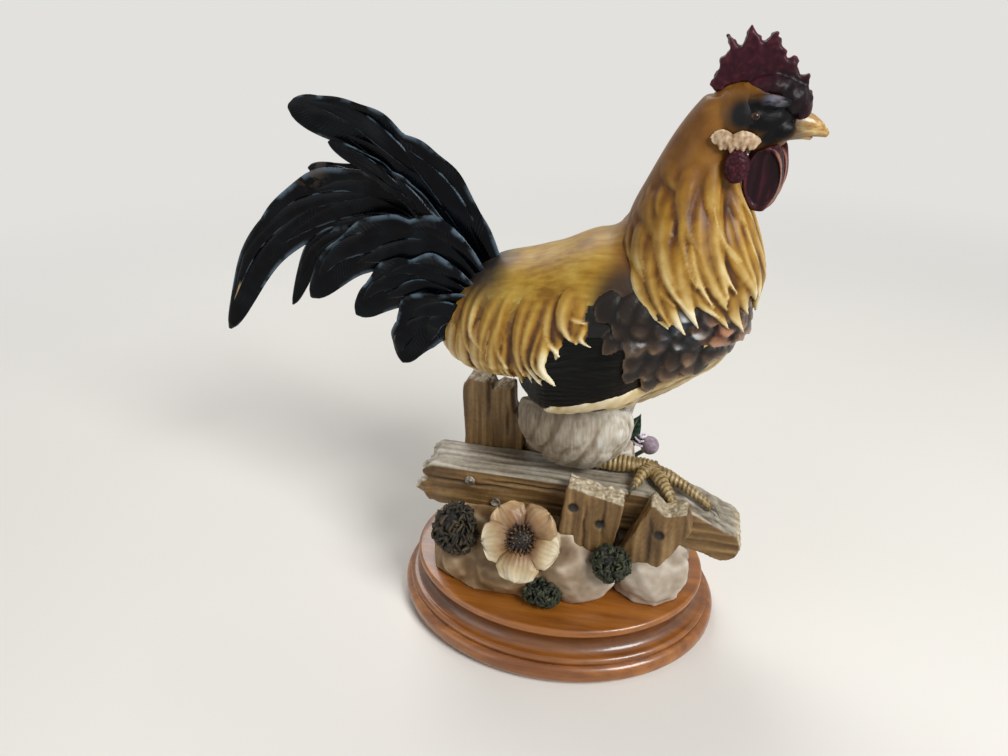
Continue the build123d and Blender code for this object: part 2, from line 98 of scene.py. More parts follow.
class Finish:
    """One finish: a Principled material whose nodes are added by calls."""

    def __init__(self, name, **constants):
        self.material = bpy.data.materials.new(name)
        self.material.use_nodes = True
        self.tree = self.material.node_tree
        self.shader = self.tree.nodes["Principled BSDF"]
        for socket, value in constants.items():
            self.shader.inputs[socket.replace("_", " ")].default_value = value

    def feed(self, socket, value):
        if isinstance(value, Value):
            self.tree.links.new(value.socket, socket)
        else:
            socket.default_value = value

    def node(self, kind, settings, *values, out=0, **named):
        """Any node: its settings first, then its sockets in order or by name."""
        made = self.tree.nodes.new(kind)
        for key, value in settings.items():
            if key == "stops":
                self.set_stops(made.color_ramp, value)
            else:
                setattr(made, key, value)
        for index, value in enumerate(values):
            if value is not None:
                self.feed(made.inputs[index], value)
        for key, value in named.items():
            self.feed(made.inputs[key.replace("_", " ")], value)
        return Value(self, made.outputs[out])

    def set_stops(self, ramp, stops):
        while len(ramp.elements) < len(stops):
            ramp.elements.new(0.5)
        for element, (place, colour) in zip(ramp.elements, stops):
            element.position = place
            element.color = colour

    def math(self, operation, first, second):
        return self.node("ShaderNodeMath", dict(operation=operation), first, second)

    def place(self):
        return self.node("ShaderNodeTexCoord", {}, out="Object")

    def scaled_place(self, size, stretch):
        """The piece's own coordinates in units of size millimetres, drawn out by stretch."""
        scale = tuple(1 / MM / (size * part) for part in stretch)
        return self.node("ShaderNodeMapping", {}, Vector=self.place(), Scale=scale)

    def mark(self, name):
        """A mark that the maker left on the piece's vertices."""
        return self.node("ShaderNodeAttribute", dict(attribute_name=name), out="Fac")

    def cloud(self, size, stretch=(1, 1, 1), detail=3.0, roughness=0.5):
        """Noise whose lumps are about size millimetres, drawn out by stretch."""
        spot = self.scaled_place(size, stretch)
        return self.node(
            "ShaderNodeTexNoise", {}, Vector=spot, Scale=1.0, Detail=detail, Roughness=roughness
        )

    def ridge(self, amount, *cloud):
        """The mark of creases and ridges, speckled by an amount of cloud."""
        return self.mark("ridge") + (self.cloud(*cloud) - 0.5) * amount

    def cells(self, size):
        """Distance within cells of about size millimetres."""
        spot = self.scaled_place(size, (1, 1, 1))
        return self.node("ShaderNodeTexVoronoi", dict(feature="F1"), Vector=spot, Scale=1.0)

    def axis(self, name):
        """One of the piece's own coordinates, in millimetres."""
        return self.node("ShaderNodeSeparateXYZ", {}, self.place(), out=name) * 1000.0

    def mix(self, share, first, second):
        made = dict(data_type="RGBA", clamp_factor=True)
        return self.node("ShaderNodeMix", made, share, None, None, None, None, None, first, second, out=2)

    def ramp(self, value, *stops):
        """A run of paint; each stop is its place from 0 to 1, then red, green and blue as for tint."""
        stops = [(place, tint(*chart)) for place, *chart in stops]
        return self.node("ShaderNodeValToRGB", dict(stops=stops), value)

    def near(self, x, z, reach, blur):
        """One within reach of a place seen from the side, fading over blur, in millimetres."""
        across = self.axis("X") - x
        height = self.axis("Z") - z
        distance = self.math("SQRT", across * across + height * height, 0.0)
        return 1 - distance.fade(reach - blur, reach + blur)

    def wear(self, colour=None, roughness=None, bump=None, strength=0.5, distance=0.4):
        """Connects what changes over the surface."""
        if colour is not None:
            self.feed(self.shader.inputs["Base Color"], colour)
        if roughness is not None:
            self.feed(self.shader.inputs["Roughness"], roughness)
        if bump is not None:
            height = self.node("ShaderNodeBump", {}, Strength=strength, Distance=distance * MM, Height=bump)
            self.feed(self.shader.inputs["Normal"], height)
        return self


# Modelling


def mesh_of(shape, name):
    """Turns a shape into a mesh and frees the shape."""
    mesh = bpy.data.meshes.new(name)
    shape.to_mesh(mesh)
    shape.free()
    return mesh


def put(name, data):
    """Puts a mesh, lamp or camera into the scene."""
    made = bpy.data.objects.new(name, data)
    bpy.context.scene.collection.objects.link(made)
    return made


def new_mark(shape, name):
    """A number that each vertex carries, for the paint to follow."""
    return shape.verts.layers.float.new(name)


def new_shape():
    """An empty shape whose vertices carry the marks that the paint follows."""
    shape = bmesh.new()
    for name in ("along", "run", "across", "tone"):
        new_mark(shape, name)
    return shape


def node_copy(node):
    """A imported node's surface in millimetres, its loose triangles merged."""
    shape = bmesh.new()
    shape.from_mesh(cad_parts[node].data)
    bmesh.ops.scale(shape, vec=(1 / MM, 1 / MM, 1 / MM), verts=shape.verts)
    bmesh.ops.remove_doubles(shape, verts=shape.verts, dist=0.02)
    return join(bmesh.new(), shape)


def hull_of(node):
    """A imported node's outer form without its sockets."""
    copied = node_copy(node)
    shape = bmesh.new()
    for vert in copied.verts:
        shape.verts.new(vert.co)
    copied.free()
    bmesh.ops.convex_hull(shape, input=shape.verts)
    loose = [vert for vert in shape.verts if not vert.link_faces]
    bmesh.ops.delete(shape, geom=loose, context="VERTS")
    return join(bmesh.new(), shape)


def join(shape, other):
    """Adds another shape to this one and frees it; a fresh start keeps the vertices in order."""
    carrier = mesh_of(other, "carrier")
    shape.from_mesh(carrier)
    bpy.data.meshes.remove(carrier)
    return shape


def cast(shape, grain, soften):
    """The casting of a modelled shape: one skin of the given grain, its creases softened."""
    mesh = mesh_of(shape, "clay")
    clay = put("clay", mesh)
    skin = clay.modifiers.new("skin", "REMESH")
    skin.mode = "VOXEL"
    skin.voxel_size = grain
    poured = clay.evaluated_get(bpy.context.evaluated_depsgraph_get())
    cooled = bpy.data.meshes.new_from_object(poured)
    casting = bmesh.new()
    casting.from_mesh(cooled)
    bpy.data.objects.remove(clay)
    bpy.data.meshes.remove(mesh)
    bpy.data.meshes.remove(cooled)
    soften_skin(casting, soften)
    return casting


def soften_skin(shape, times):
    for _ in range(times):
        bmesh.ops.smooth_vert(
            shape, verts=shape.verts, factor=0.5, use_axis_x=True, use_axis_y=True, use_axis_z=True
        )
    shape.normal_update()


def lumps(spot, x, y, z):
    """Noise with lumps of the given sizes along each axis, about -1 to 1."""
    return noise.noise(Vector((spot.x / x, spot.y / y, spot.z / z)))


def carve(shape, depth):
    """Moves each vertex along its normal by depth(place, normal)."""
    shape.normal_update()
    moves = [(vert, vert.normal * depth(vert.co, vert.normal)) for vert in shape.verts]
    for vert, move in moves:
        vert.co += move
    shape.normal_update()


def mark_ridges(shape, reach, height):
    """Leaves a mark from 0 in the creases to 1 on the ridges, against a skin smoothed reach times."""
    smooth = shape.copy()
    soften_skin(smooth, reach)
    layer = new_mark(shape, "ridge")
    shape.normal_update()
    for vert, low in zip(shape.verts, smooth.verts):
        rise = (vert.co - low.co).dot(vert.normal)
        vert[layer] = min(max(0.5 + rise / (2 * height), 0.0), 1.0)
    smooth.free()


def piece(name, shape, finish, slot, *nodes):
    """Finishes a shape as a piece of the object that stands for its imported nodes."""
    bmesh.ops.scale(shape, vec=(MM, MM, MM), verts=shape.verts)
    mesh = mesh_of(shape, name)
    mesh.shade_smooth()
    mesh.materials.append(finish.material)
    made = put(name, mesh)
    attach(made, "root")
    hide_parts(*nodes)


def smooth_route(points, count):
    """Places on a smooth curve through the points."""
    stops = [Vector(point) for point in points]
    stops = [2 * stops[0] - stops[1], *stops, 2 * stops[-1] - stops[-2]]
    route = []
    for step in range(count):
        reach = step / (count - 1) * (len(points) - 1)
        leg = min(int(reach), len(points) - 2)
        t = reach - leg
        a, b, c, d = stops[leg:leg + 4]
        bend = (2 * a - 5 * b + 4 * c - d) * t * t + (3 * b - a - 3 * c + d) * t ** 3
        route.append(0.5 * (2 * b + (c - a) * t + bend))
    return route


def spine_of(places):
    """Turns (spot, normal) pairs into the (spot, side, normal) stations that a tube is laid along."""
    spine = []
    for index, (spot, normal) in enumerate(places):
        before = places[max(index - 1, 0)][0]
        after = places[min(index + 1, len(places) - 1)][0]
        spine.append((spot, (after - before).cross(normal).normalized(), normal))
    return spine


def unit_tube(rings, segments):
    """A closed tube of radius one that runs from 0 to 1 along Z."""
    shape = bmesh.new()
    bmesh.ops.create_cone(
        shape, cap_ends=True, cap_tris=False, segments=segments, radius1=1, radius2=1, depth=1
    )
    bmesh.ops.translate(shape, vec=(0, 0, 0.5), verts=shape.verts)
    lengthwise = [edge for edge in shape.edges if abs(edge.verts[0].co.z - edge.verts[1].co.z) > 0.5]
    bmesh.ops.subdivide_edges(shape, edges=lengthwise, cuts=rings - 2, use_grid_fill=True)
    return mesh_of(shape, "unit_tube")


def lay(shape, tube, spine, half_width, thickness, relief=None, tone=0.5, flare=None):
    """Lays a unit tube along a spine; the sizes are functions of the share of its length."""
    first = len(shape.verts)
    shape.from_mesh(tube)
    shape.verts.ensure_lookup_table()
    layers = [shape.verts.layers.float.get(name) for name in ("along", "run", "across", "tone")]
    run = [0.0]
    for index in range(1, len(spine)):
        run.append(run[-1] + (spine[index][0] - spine[index - 1][0]).length)
    last = len(spine) - 1
    for index in range(first, len(shape.verts)):
        vert = shape.verts[index]
        across, rise, share = vert.co
        station = round(share * last)
        spot, side, normal = spine[station]
        height = rise * thickness(share)
        if relief:
            height += relief(share, across, rise)
        reach = across * half_width(share)
        if flare:
            reach += flare(share, across)
        vert.co = spot + side * reach + normal * height
        if layers[0]:
            for layer, value in zip(layers, (share, run[station], across, tone)):
                vert[layer] = value


def blade_width(half, root, widest, end):
    """A half-width that swells from its root to its widest place and closes as end says."""

    def width(share):
        if share < widest:
            return half * (root + (1 - root) * math.sin(math.pi / 2 * share / widest))
        return half * end((share - widest) / (1 - widest))

    return width


def leaf_width(half, root=0.4, widest=0.5, point=1.6):
    """The half-width of a lock or leaf, drawn to a point."""
    return blade_width(half, root, widest, lambda past: max(1 - past ** point, 0.04))


def scale_width(half, root=0.6, widest=0.5):
    """The half-width of a round-ended scale."""
    return blade_width(half, root, widest, lambda past: math.sqrt(max(1 - past ** 2, 0.01)))


def steady(size):
    return lambda share: size


LOCK_STEPS = 16
STRAND_STEPS = 5
FEATHER_STEPS = 64
VANE_STEPS = 24
TOE_STEPS = 110
PETAL_STEPS = 22
SHORT_STEPS = 10
LOCK_TUBE = unit_tube(LOCK_STEPS, 8)
LOCK_SHARES = [face.center.z for face in LOCK_TUBE.polygons]
STRAND_TUBE = unit_tube(STRAND_STEPS, 4)
FEATHER_TUBE = unit_tube(FEATHER_STEPS, 40)
VANE_TUBE = unit_tube(VANE_STEPS, 12)
TOE_TUBE = unit_tube(TOE_STEPS, 14)
PETAL_TUBE = unit_tube(PETAL_STEPS, 28)

# A distance from which a look at the rooster starts outside it
FAR_OFF = 300


class Plumage:
    """Carved locks and scales on a core; each keeps its paint marks for the casting."""

    def __init__(self, core, *covers):
        self.clay = core
        laid_on = core.copy()
        for cover in covers:
            join(laid_on, cover)
        if covers:
            laid_on = cast(laid_on, grain=1.5, soften=6)
        self.skin = BVHTree.FromBMesh(laid_on)
        laid_on.free()
        self.owners = [(0, None, 0.5)]
        self.bare_places = []

    def from_side(self, side, x, z):
        """Where a straight look from one side meets the skin."""
        spot, normal, _, _ = self.skin.ray_cast(Vector((x, side * FAR_OFF, z)), Vector((0, -side, 0)))
        if spot is None:
            spot, normal, _, _ = self.skin.find_nearest(Vector((x, side * 12 + ROOSTER_Y, z)))
        return spot, normal

    def down_side(self, side, points):
        """The places on the skin under a smooth line drawn through points seen from one side."""
        return [self.from_side(side, spot.x, spot.y) for spot in smooth_route(points, LOCK_STEPS)]

    def from_round(self, middle, direction):
        """Where a look at the middle from the given direction meets the skin."""
        spot, normal, _, _ = self.skin.ray_cast(middle + direction * FAR_OFF, -direction)
        if spot is None:
            spot, normal, _, _ = self.skin.find_nearest(middle + direction * 20)
        return spot, normal

    def lock(self, places, width, thickness, sunk, lift, kind, tone):
        """One lock laid on its places: its root sunk in the skin, its tip lifted off it."""
        count = len(places)
        raised = []
        for index, (spot, normal) in enumerate(places):
            share = index / (count - 1)
            rise = -sunk * (1 - share) ** 1.5 + lift * share * share
            raised.append((spot + normal * rise, normal))
        self.owners.append((len(self.clay.faces), kind, tone))
        thick = lambda share: thickness * (0.2 + 0.8 * ease(share / 0.5)) * (1 - 0.7 * share * share)
        lay(self.clay, LOCK_TUBE, spine_of(raised), width, thick)

    def bare(self, spot, kind):
        """Names the kind of paint on a place with no lock."""
        self.bare_places.append((spot, kind))

    def poured(self, grain, soften, kinds, reach, height):
        """The casting with its marks: ridge, along, tone and one for each kind of feather."""
        model = BVHTree.FromBMesh(self.clay)
        starts = [owner[0] for owner in self.owners]
        tree = KDTree(len(self.bare_places) + 1)
        for index, (spot, _) in enumerate(self.bare_places):
            tree.insert(spot, index)
        tree.balance()
        shape = cast(self.clay, grain, soften)
        mark_ridges(shape, reach, height)
        along = new_mark(shape, "along")
        tone = new_mark(shape, "tone")
        layers = {kind: new_mark(shape, kind) for kind in kinds}
        for vert in shape.verts:
            face = model.find_nearest(vert.co)[2]
            first, kind, own_tone = self.owners[bisect.bisect_right(starts, face) - 1]
            if kind:
                vert[along] = LOCK_SHARES[face - first]
            elif self.bare_places:
                kind = self.bare_places[tree.find(vert.co)[1]][1]
            else:
                kind = kinds[0]
            vert[tone] = own_tone
            vert[layers[kind]] = 1.0
        return shape


def sizes_of(node):
    """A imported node's middle and half its size along each axis, in millimetres."""
    low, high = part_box(node)
    return (low + high) / 2 / MM, (high - low) / 2 / MM


def middle_of(node):
    return sizes_of(node)[0]


def add_lump(shape, spot, size):
    """Adds a round lump of clay."""
    lump = bmesh.new()
    bmesh.ops.create_uvsphere(lump, u_segments=20, v_segments=14, radius=1)
    bmesh.ops.scale(lump, vec=size, verts=lump.verts)
    bmesh.ops.translate(lump, vec=spot, verts=lump.verts)
    join(shape, lump)


chance = random.Random(7)
BODY_MIDDLE = middle_of("body")
HEAD_MIDDLE = middle_of("head")
ROOSTER_Y = BODY_MIDDLE.y
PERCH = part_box("fence_rail")[1].z / MM
PLINTH_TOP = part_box("plinth")[1].z / MM


# Body


def ease(share):
    """Nought to one, slow at both ends."""
    share = min(max(share, 0.0), 1.0)
    return share * share * (3 - 2 * share)


def between(low, high):
    return chance.uniform(low, high)


# Heights and places on the rooster, in millimetres
BACK_SLOPE = math.tan(math.radians(6))
RUMP_FLOOR = 112
SADDLE_LOW = 122
SADDLE_TURN = -14
BREAST_X = 34
RUMP_TIPS = 121
# Spots on the breast where the painted highlights lie
PEARL_HIGHLIGHT = (48, 158)
COPPER_HIGHLIGHT = (64, 156)
TAIL_SMOKE = (-40, 174)
# Where the painted shade between the hackle and the saddle lies
SHOULDER_SHADE = (24, 168)


def body_core():
    """The egg under the plumage: back rising to the neck, belly drawn up, rump cut clear of the post."""
    core = cast(hull_of("body"), grain=1.3, soften=2)
    for vert in core.verts:
        x = vert.co.x
        beside = abs(vert.co.y - ROOSTER_Y)
        above = vert.co.z - BODY_MIDDLE.z - (x - BODY_MIDDLE.x) * BACK_SLOPE
        if above > 0:
            back = 3.5 + 3.5 * ease((-14 - x) / 24) + 4 * ease((x + 8) / 20)
            back += 14 * ease((x - 10) / 18) ** 2 * ease((20 - beside) / 14)
            vert.co.z += back * ease(above / 30)
        else:
            vert.co.z -= 0.26 * above * ease((x - 10) / 46)
            rump = ease((-6 - x) / 20) * ease((-above - 6) / 20)
            vert.co.y += (ROOSTER_Y - vert.co.y) * 0.5 * rump
            clear = RUMP_FLOOR + 0.5 * beside
            vert.co.z += max(clear - vert.co.z, 0) * ease((-12 - x) / 8)
    carve(core, lambda spot, normal: -2.4 - 1.2 * ease((spot.x - 40) / 20))
    return core


def saddle_lock(plumage, side, x, top, tip_x, tip_z, swing, half, kind, sunk, lift, thickness):
    """A lock that leaves the back line, swings rearward and comes forward a little at its tip."""
    drop = top - tip_z
    swing *= min(1, drop / 56)
    points = [
        (x + 4, top),
        (x - swing * 0.5, top - drop * 0.28),
        (x - swing, top - drop * 0.58),
        (x - swing * 0.95, top - drop * 0.82),
        (tip_x - swing * 0.5, tip_z),
    ]
    places = plumage.down_side(side, points)
    plumage.lock(places, leaf_width(half, 0.5, 0.4, 1.5), thickness, sunk, lift, kind, chance.random())


def saddle_reach(x):
    """How low the saddle's locks hang along the body: short by the hackle, long over the wing."""
    past = x - SADDLE_TURN
    return SADDLE_LOW + past * 1.25 if x > SADDLE_TURN else SADDLE_LOW - past * 0.3


def belly_line(x):
    """Below this height the breast turns to the pale feathers of the belly."""
    return 131 + (x - 38) * 0.4


def breast_scale(plumage, turn, z, half, length):
    """A rounded scale on the breast; turn goes from the near side (0) to the front (90)."""
    places = []
    for step in range(LOCK_STEPS):
        share = step / (LOCK_STEPS - 1)
        angle = math.radians(turn - 12 * share * math.cos(math.radians(turn)))
        direction = Vector((math.sin(angle), -math.cos(angle), 0))
        middle = Vector((BREAST_X, ROOSTER_Y, z + length * (0.5 - share)))
        places.append(plumage.from_round(middle, direction))
    if z > belly_line(places[-1][0].x) + 5:
        plumage.lock(places, scale_width(half, 0.7, 0.55), 1.5, 0.8, 2.2, "breast", chance.random())


def breast_and_belly(plumage, side):
    """Rows of rounded scales down the breast, and flat pale feathers under the belly."""
    for row in range(7):
        z = 167 - row * 5.8
        for column in range(10):
            turn = -18 + (column + 0.5 * (row % 2)) * 13 + row * 4.5
            angle = turn if side == NEAR else 180 - turn
            breast_scale(
                plumage, angle + between(-2.5, 2.5), z + between(-1.3, 1.3), between(4.4, 6.0), 12.5
            )
    for row in range(3):
        for step in range(15):
            x = 72 - step * 4.8 + 2.4 * (row % 2)
            top = belly_line(x) + 4 - row * 4.2
            points = [(x, top), (x - 5, top - 4), (x - 11, top - 8 + between(-1.5, 1.5))]
            places = plumage.down_side(side, points)
            plumage.lock(
                places, leaf_width(between(2.4, 3.6), 0.5, 0.5, 1.8), 1.6, 0.2, 1.6, "belly",
                chance.random(),
            )


def saddle_and_rump(plumage, side):
    """Long locks from the back line down each flank, and the hanging locks of the rump."""
    for step in range(12):
        x = 9 - step * 4.8 + between(-1, 1)
        tip_z = saddle_reach(x) - 2 + between(-2, 2)
        saddle_lock(plumage, side, x, 176, x + between(-3, 1), tip_z, 7, 4.6, "saddle", 1.4, 0.0, 2.2)
    for step in range(9):
        x = 7 - step * 5.8 + between(-2, 2)
        tip_z = saddle_reach(x) + between(-5, 6)
        half = between(3.0, 5.0)
        saddle_lock(
            plumage, side, x, 178 + between(-4, 0), x + between(-1, 5), tip_z, between(6, 12), half,
            "saddle", 2.4, 1.0, half * 0.85,
        )
    for step in range(13):
        x = 12 - step * 4.2 + between(-3, 3)
        tip_z = saddle_reach(x) + between(-6, 12)
        half = between(1.5, 2.8)
        saddle_lock(
            plumage, side, x, 168 + between(-10, 6), x + between(0, 8), tip_z, between(4, 11), half,
            "saddle", 1.2, 1.6, half * 1.15,
        )
    for step in range(5):
        x = -26 - step * 6.4 + between(-1, 1)
        tip_z = RUMP_TIPS + between(-1, 2)
        saddle_lock(
            plumage, side, x, 164 - step * 1.6, x + between(-2, 2), tip_z, between(2, 6), between(4.6, 6),
            "rump", 1.6, 0.2, 3.6,
        )
    for step in range(6):
        x = -24 - step * 5.6 + between(-2, 2)
        tip_z = 120 + between(-1, 7)
        saddle_lock(
            plumage, side, x, 154 + between(-6, 4), x + between(-2, 3), tip_z, between(1, 5),
            between(1.8, 2.8), "rump", 1.0, 0.8, 2.8,
        )


def make_body():
    """Back, saddle locks, rump locks, breast scales and belly feathers in one casting."""
    plumage = Plumage(
        body_core(), node_copy("neck_hackle"), wing_core("wing_right", NEAR), wing_core("wing_left", FAR)
    )
    for step in range(34):
        x = step * 4 - 60
        for turn in range(0, 360, 12):
            around = math.radians(turn)
            direction = Vector((0, math.sin(around), math.cos(around)))
            spot, _ = plumage.from_round(Vector((x, ROOSTER_Y, BODY_MIDDLE.z)), direction)
            if math.cos(around) > 0.6 or spot.z > saddle_reach(x) + 12:
                kind = "back"
            elif x < SADDLE_TURN:
                kind = "rump"
            else:
                kind = "belly" if spot.z < belly_line(x) else "covert"
            plumage.bare(spot, kind)
    for side in (NEAR, FAR):
        breast_and_belly(plumage, side)
        saddle_and_rump(plumage, side)
    return plumage.poured(
        grain=0.75, soften=1, kinds=("back", "saddle", "rump", "breast", "covert", "belly"), reach=34,
        height=0.75,
    )


def gold_paint(finish, ridge, tone, along):
    """Gold feather paint: brown in the creases, honey on the flats and cream brushed over the ridges."""
    tipped = along.fade(0.35, 0.8)
    gold = finish.ramp(
        ridge + (tone - 0.5) * 0.16,
        (0.18, 38, 19, 4),
        (0.38, 96, 56, 14),
        (0.56, 152, 110, 36),
        (0.76, 188, 154, 72),
        (1.0, 214, 196, 140),
    )
    brushed = finish.ramp(
        ridge + (tone - 0.5) * 0.2,
        (0.18, 22, 13, 5),
        (0.38, 84, 52, 15),
        (0.56, 156, 118, 50),
        (0.74, 200, 174, 114),
        (0.95, 230, 218, 184),
    )
    return finish.mix(tipped, gold, brushed)


def body_finish():
    finish = Finish("saddle_paint", Specular_IOR_Level=0.25, Coat_Weight=0.05, Coat_Roughness=0.22)
    ridge = finish.ridge(0.22, 6)
    tone = finish.mark("tone")
    gold = gold_paint(finish, ridge, tone, finish.mark("along"))
    streaks = finish.cloud(14) * 0.6 + finish.cloud(2.2, (7, 1, 1), 3) * 0.4
    smooth_gold = finish.ramp(streaks, (0.36, 122, 84, 18), (0.5, 156, 120, 40), (0.66, 178, 148, 68))
    smooth_gold = finish.mix(finish.axis("X").fade(10, 30), smooth_gold, tint(98, 52, 12))
    rump = finish.ramp(
        ridge, (0.08, 66, 36, 6), (0.36, 136, 92, 36), (0.6, 186, 154, 94), (0.9, 226, 210, 172)
    )
    scales = finish.ramp(
        ridge + (tone - 0.5) * 0.24, (0.3, 3, 2, 1), (0.52, 34, 21, 12), (0.72, 74, 54, 38),
        (0.95, 140, 114, 90),
    )
    scales = finish.mix((1 - finish.axis("X").fade(22, 52)) * 0.8, scales, tint(12, 8, 6))
    # Painted highlights on the breast scales: a pale blue-white glint round one spot and a copper glint
    # round another, standing in for light on the glossy scales.
    pearl_highlight = finish.ramp(
        ridge + (tone - 0.5) * 0.3, (0.25, 6, 7, 9), (0.5, 46, 54, 62), (0.68, 132, 146, 158),
        (0.85, 226, 234, 240),
    )
    copper_highlight = finish.ramp(
        ridge + (tone - 0.5) * 0.3, (0.2, 14, 8, 5), (0.48, 92, 50, 28), (0.75, 190, 136, 104)
    )
    sheen = finish.near(*PEARL_HIGHLIGHT, 6, 6) * finish.cloud(7).fade(0.38, 0.54)
    glow = finish.near(*COPPER_HIGHLIGHT, 7, 6) * finish.cloud(6).fade(0.42, 0.56)
    scales = finish.mix(glow * 0.6, finish.mix(sheen * 0.9, scales, pearl_highlight), copper_highlight)
    covert = finish.ramp(
        ridge + (finish.cloud(1.4, (9, 1, 1)) - 0.5) * 0.5, (0.2, 4, 4, 4), (0.55, 16, 15, 13),
        (0.85, 46, 52, 48),
    )
    belly = finish.ramp(
        ridge, (0.1, 64, 46, 22), (0.45, 144, 118, 74), (0.7, 194, 174, 130), (1.0, 226, 212, 182)
    )
    colour = finish.mix(finish.mark("along").fade(0.12, 0.45), smooth_gold, gold)
    for kind, paint in (("rump", rump), ("breast", scales), ("covert", covert), ("belly", belly)):
        colour = finish.mix(finish.mark(kind), colour, paint)
    smoke = finish.near(*TAIL_SMOKE, 15, 7) * (0.8 + finish.cloud(6) * 0.3)
    colour = finish.mix(smoke, colour, tint(30, 31, 36))
    # Painted shade: the gap between the hackle and the saddle over the shoulder is painted near-black brown,
    # away from the breast scales.
    shoulder_shade = finish.near(*SHOULDER_SHADE, 11, 5) * (1 - finish.mark("breast"))
    colour = finish.mix(shoulder_shade * 0.9, colour, tint(26, 16, 11))
    return finish.wear(colour, 0.46 - finish.mark("breast") * 0.22, finish.cloud(1.1, detail=4), 0.12, 0.5)


# Neck


NECK_FOOT = 149
NECK_HEIGHT = 90


def hackle_place(plumage, z, turn):
    """A place on the neck; turn goes from the back (0) by the near side (90) to the front (180)."""
    share = min(max((z - NECK_FOOT) / NECK_HEIGHT, 0), 1)
    spread = 1 - share ** 1.5
    turned = math.radians(turn)
    out = Vector((-math.cos(turned), -math.sin(turned), 0))
    look = (out + UP * 0.9 * max(math.cos(turned), 0) ** 2).normalized()
    spot = Vector((41 + 13 * share ** 3, ROOSTER_Y, z))
    spot += Vector((out.x * (8 + 24 * spread), out.y * (7.5 + 22.5 * spread), 0))
    found, normal, _, _ = plumage.skin.ray_cast(spot + look * 40, -look)
    if found is None:
        found, normal, _, _ = plumage.skin.find_nearest(spot)
    return found, normal


def hackle_swell(spot):
    """How far the neck's core stands out from the plain cone: full in front, sunk behind and above."""
    low = ease((206 - spot.z) / 34)
    behind = ease((30 - spot.x) / 16)
    bosom = ease((spot.x - 56) / 12) * ease((spot.z - 160) / 14) * ease((210 - spot.z) / 16)
    return 2.6 * low * (1 - behind) - 3.5 * low * behind - 2.2 * ease((236 - spot.z) / 30) + 3.5 * bosom


def make_hackle():
    """The neck's long pointed locks, in tiers from the head down over the shoulders."""
    core = cast(node_copy("neck_hackle"), grain=1.2, soften=2)
    carve(core, lambda spot, normal: hackle_swell(spot))
    add_lump(core, HEAD_MIDDLE + Vector((-4, 0, 0)), (13.4, 12.3, 12.6))
    plumage = Plumage(core, body_core())
    for z in range(150, 240, 6):
        for turn in range(0, 360, 30):
            plumage.bare(hackle_place(plumage, z, turn)[0], "smooth")
    tiers = (
        (198, 159, 22, 5.0, 0.6, 0.8, 2.6),
        (206, 162, 17, 5.2, 1.2, 1.6, 3.4),
        (217, 173, 13, 5.0, 1.6, 1.6, 3.4),
        (226, 190, 9, 4.2, 1.6, 1.4, 2.6),
        (206, 166, 16, 2.4, 0.4, 2.0, 3.0),
        (216, 180, 11, 2.1, 0.4, 1.8, 2.6),
    )
    for tier, (top, tip, count, half, sunk, lift, thickness) in enumerate(tiers):
        for index in range(count):
            turn = (index + 0.37 * tier) * 360 / count + between(-6, 6)
            back = max(math.cos(math.radians(turn)), 0)
            back = back * back
            low = tip + 26 * back + between(-8, 8)
            beside = 1 if math.sin(math.radians(turn)) > 0 else -1
            sweep = beside * (24 + 14 * math.cos(math.radians(turn)) + between(-10, 10))
            places = []
            for step in range(LOCK_STEPS):
                share = step / (LOCK_STEPS - 1)
                turned = turn - beside * 5 * math.sin(math.pi * share) + sweep * share ** 2.4
                places.append(hackle_place(plumage, top + (low - top) * share, turned))
            width = leaf_width(half * between(0.85, 1.15), 0.5, 0.45, 1.5)
            plumage.lock(
                places, width, thickness, sunk + 5 * back, lift + 1.2 - 4.2 * back, "lock", chance.random()
            )
    return plumage.poured(grain=0.64, soften=2, kinds=("smooth", "lock"), reach=40, height=0.9)


def hackle_finish():
    finish = Finish("hackle_paint", Specular_IOR_Level=0.2, Coat_Weight=0.04, Coat_Roughness=0.22)
    ridge = finish.ridge(0.3, 7)
    height = finish.axis("Z")
    gold = gold_paint(
        finish, ridge - height.fade(175, 225) * 0.12, finish.mark("tone"), finish.mark("along")
    )
    smooth = finish.ramp(finish.cloud(12), (0.3, 92, 56, 16), (0.55, 124, 82, 32), (0.8, 148, 106, 50))
    colour = finish.mix(height.fade(196, 226), gold, smooth)
    nape = (1 - finish.axis("X").fade(22, 42)) * height.fade(178, 192)
    colour = finish.mix(nape * 0.7, colour, tint(88, 50, 16))
    colour = finish.mix(eye_smoke(finish), colour, tint(9, 8, 11))
    return finish.wear(colour, 0.42, finish.cloud(1.0, (1, 1, 4), 4), 0.12, 0.5)


# Wings and thighs


def wing_core(node, side):
    """A folded wing drawn in at its ends and lower edge, its margins sunk under the plumage."""
    core = cast(node_copy(node), grain=0.7, soften=1)
    for vert in core.verts:
        if vert.co.x < -6:
            vert.co.x = -6 + (vert.co.x + 6) * 0.45
        elif vert.co.x > 34:
            vert.co.x = 34 + (vert.co.x - 34) * 0.5
        hem = 113 + (vert.co.x + 10) * 0.3
        vert.co.z += max(hem - vert.co.z, 0) * 0.85
        under = max(ease((-2 - vert.co.x) / 14), ease((vert.co.x - 24) / 14))
        under = max(under, ease((vert.co.z - 138 - vert.co.x * 0.2) / 14))
        vert.co.y -= side * (1.6 + 4.5 * under)
    soften_skin(core, 2)
    return core


def make_wing(node, side):
    """The wing with fine barbs combed along it."""
    plumage = Plumage(wing_core(node, side))
    for row in range(19):
        offset = -17 + row * 1.9
        bend = between(-1.2, 1.2)
        points = [
            (38, 144 + offset * 0.6), (20, 138.5 + offset + bend), (0, 133.5 + offset - bend),
            (-16, 129 + offset * 0.8),
        ]
        places = plumage.down_side(side, points)
        plumage.lock(
            places, leaf_width(between(0.9, 1.5), 0.8, 0.4, 2.4), 0.9, 0.0, 0.3, "barb", chance.random()
        )
    return plumage.poured(grain=0.45, soften=1, kinds=("barb",), reach=10, height=0.5)


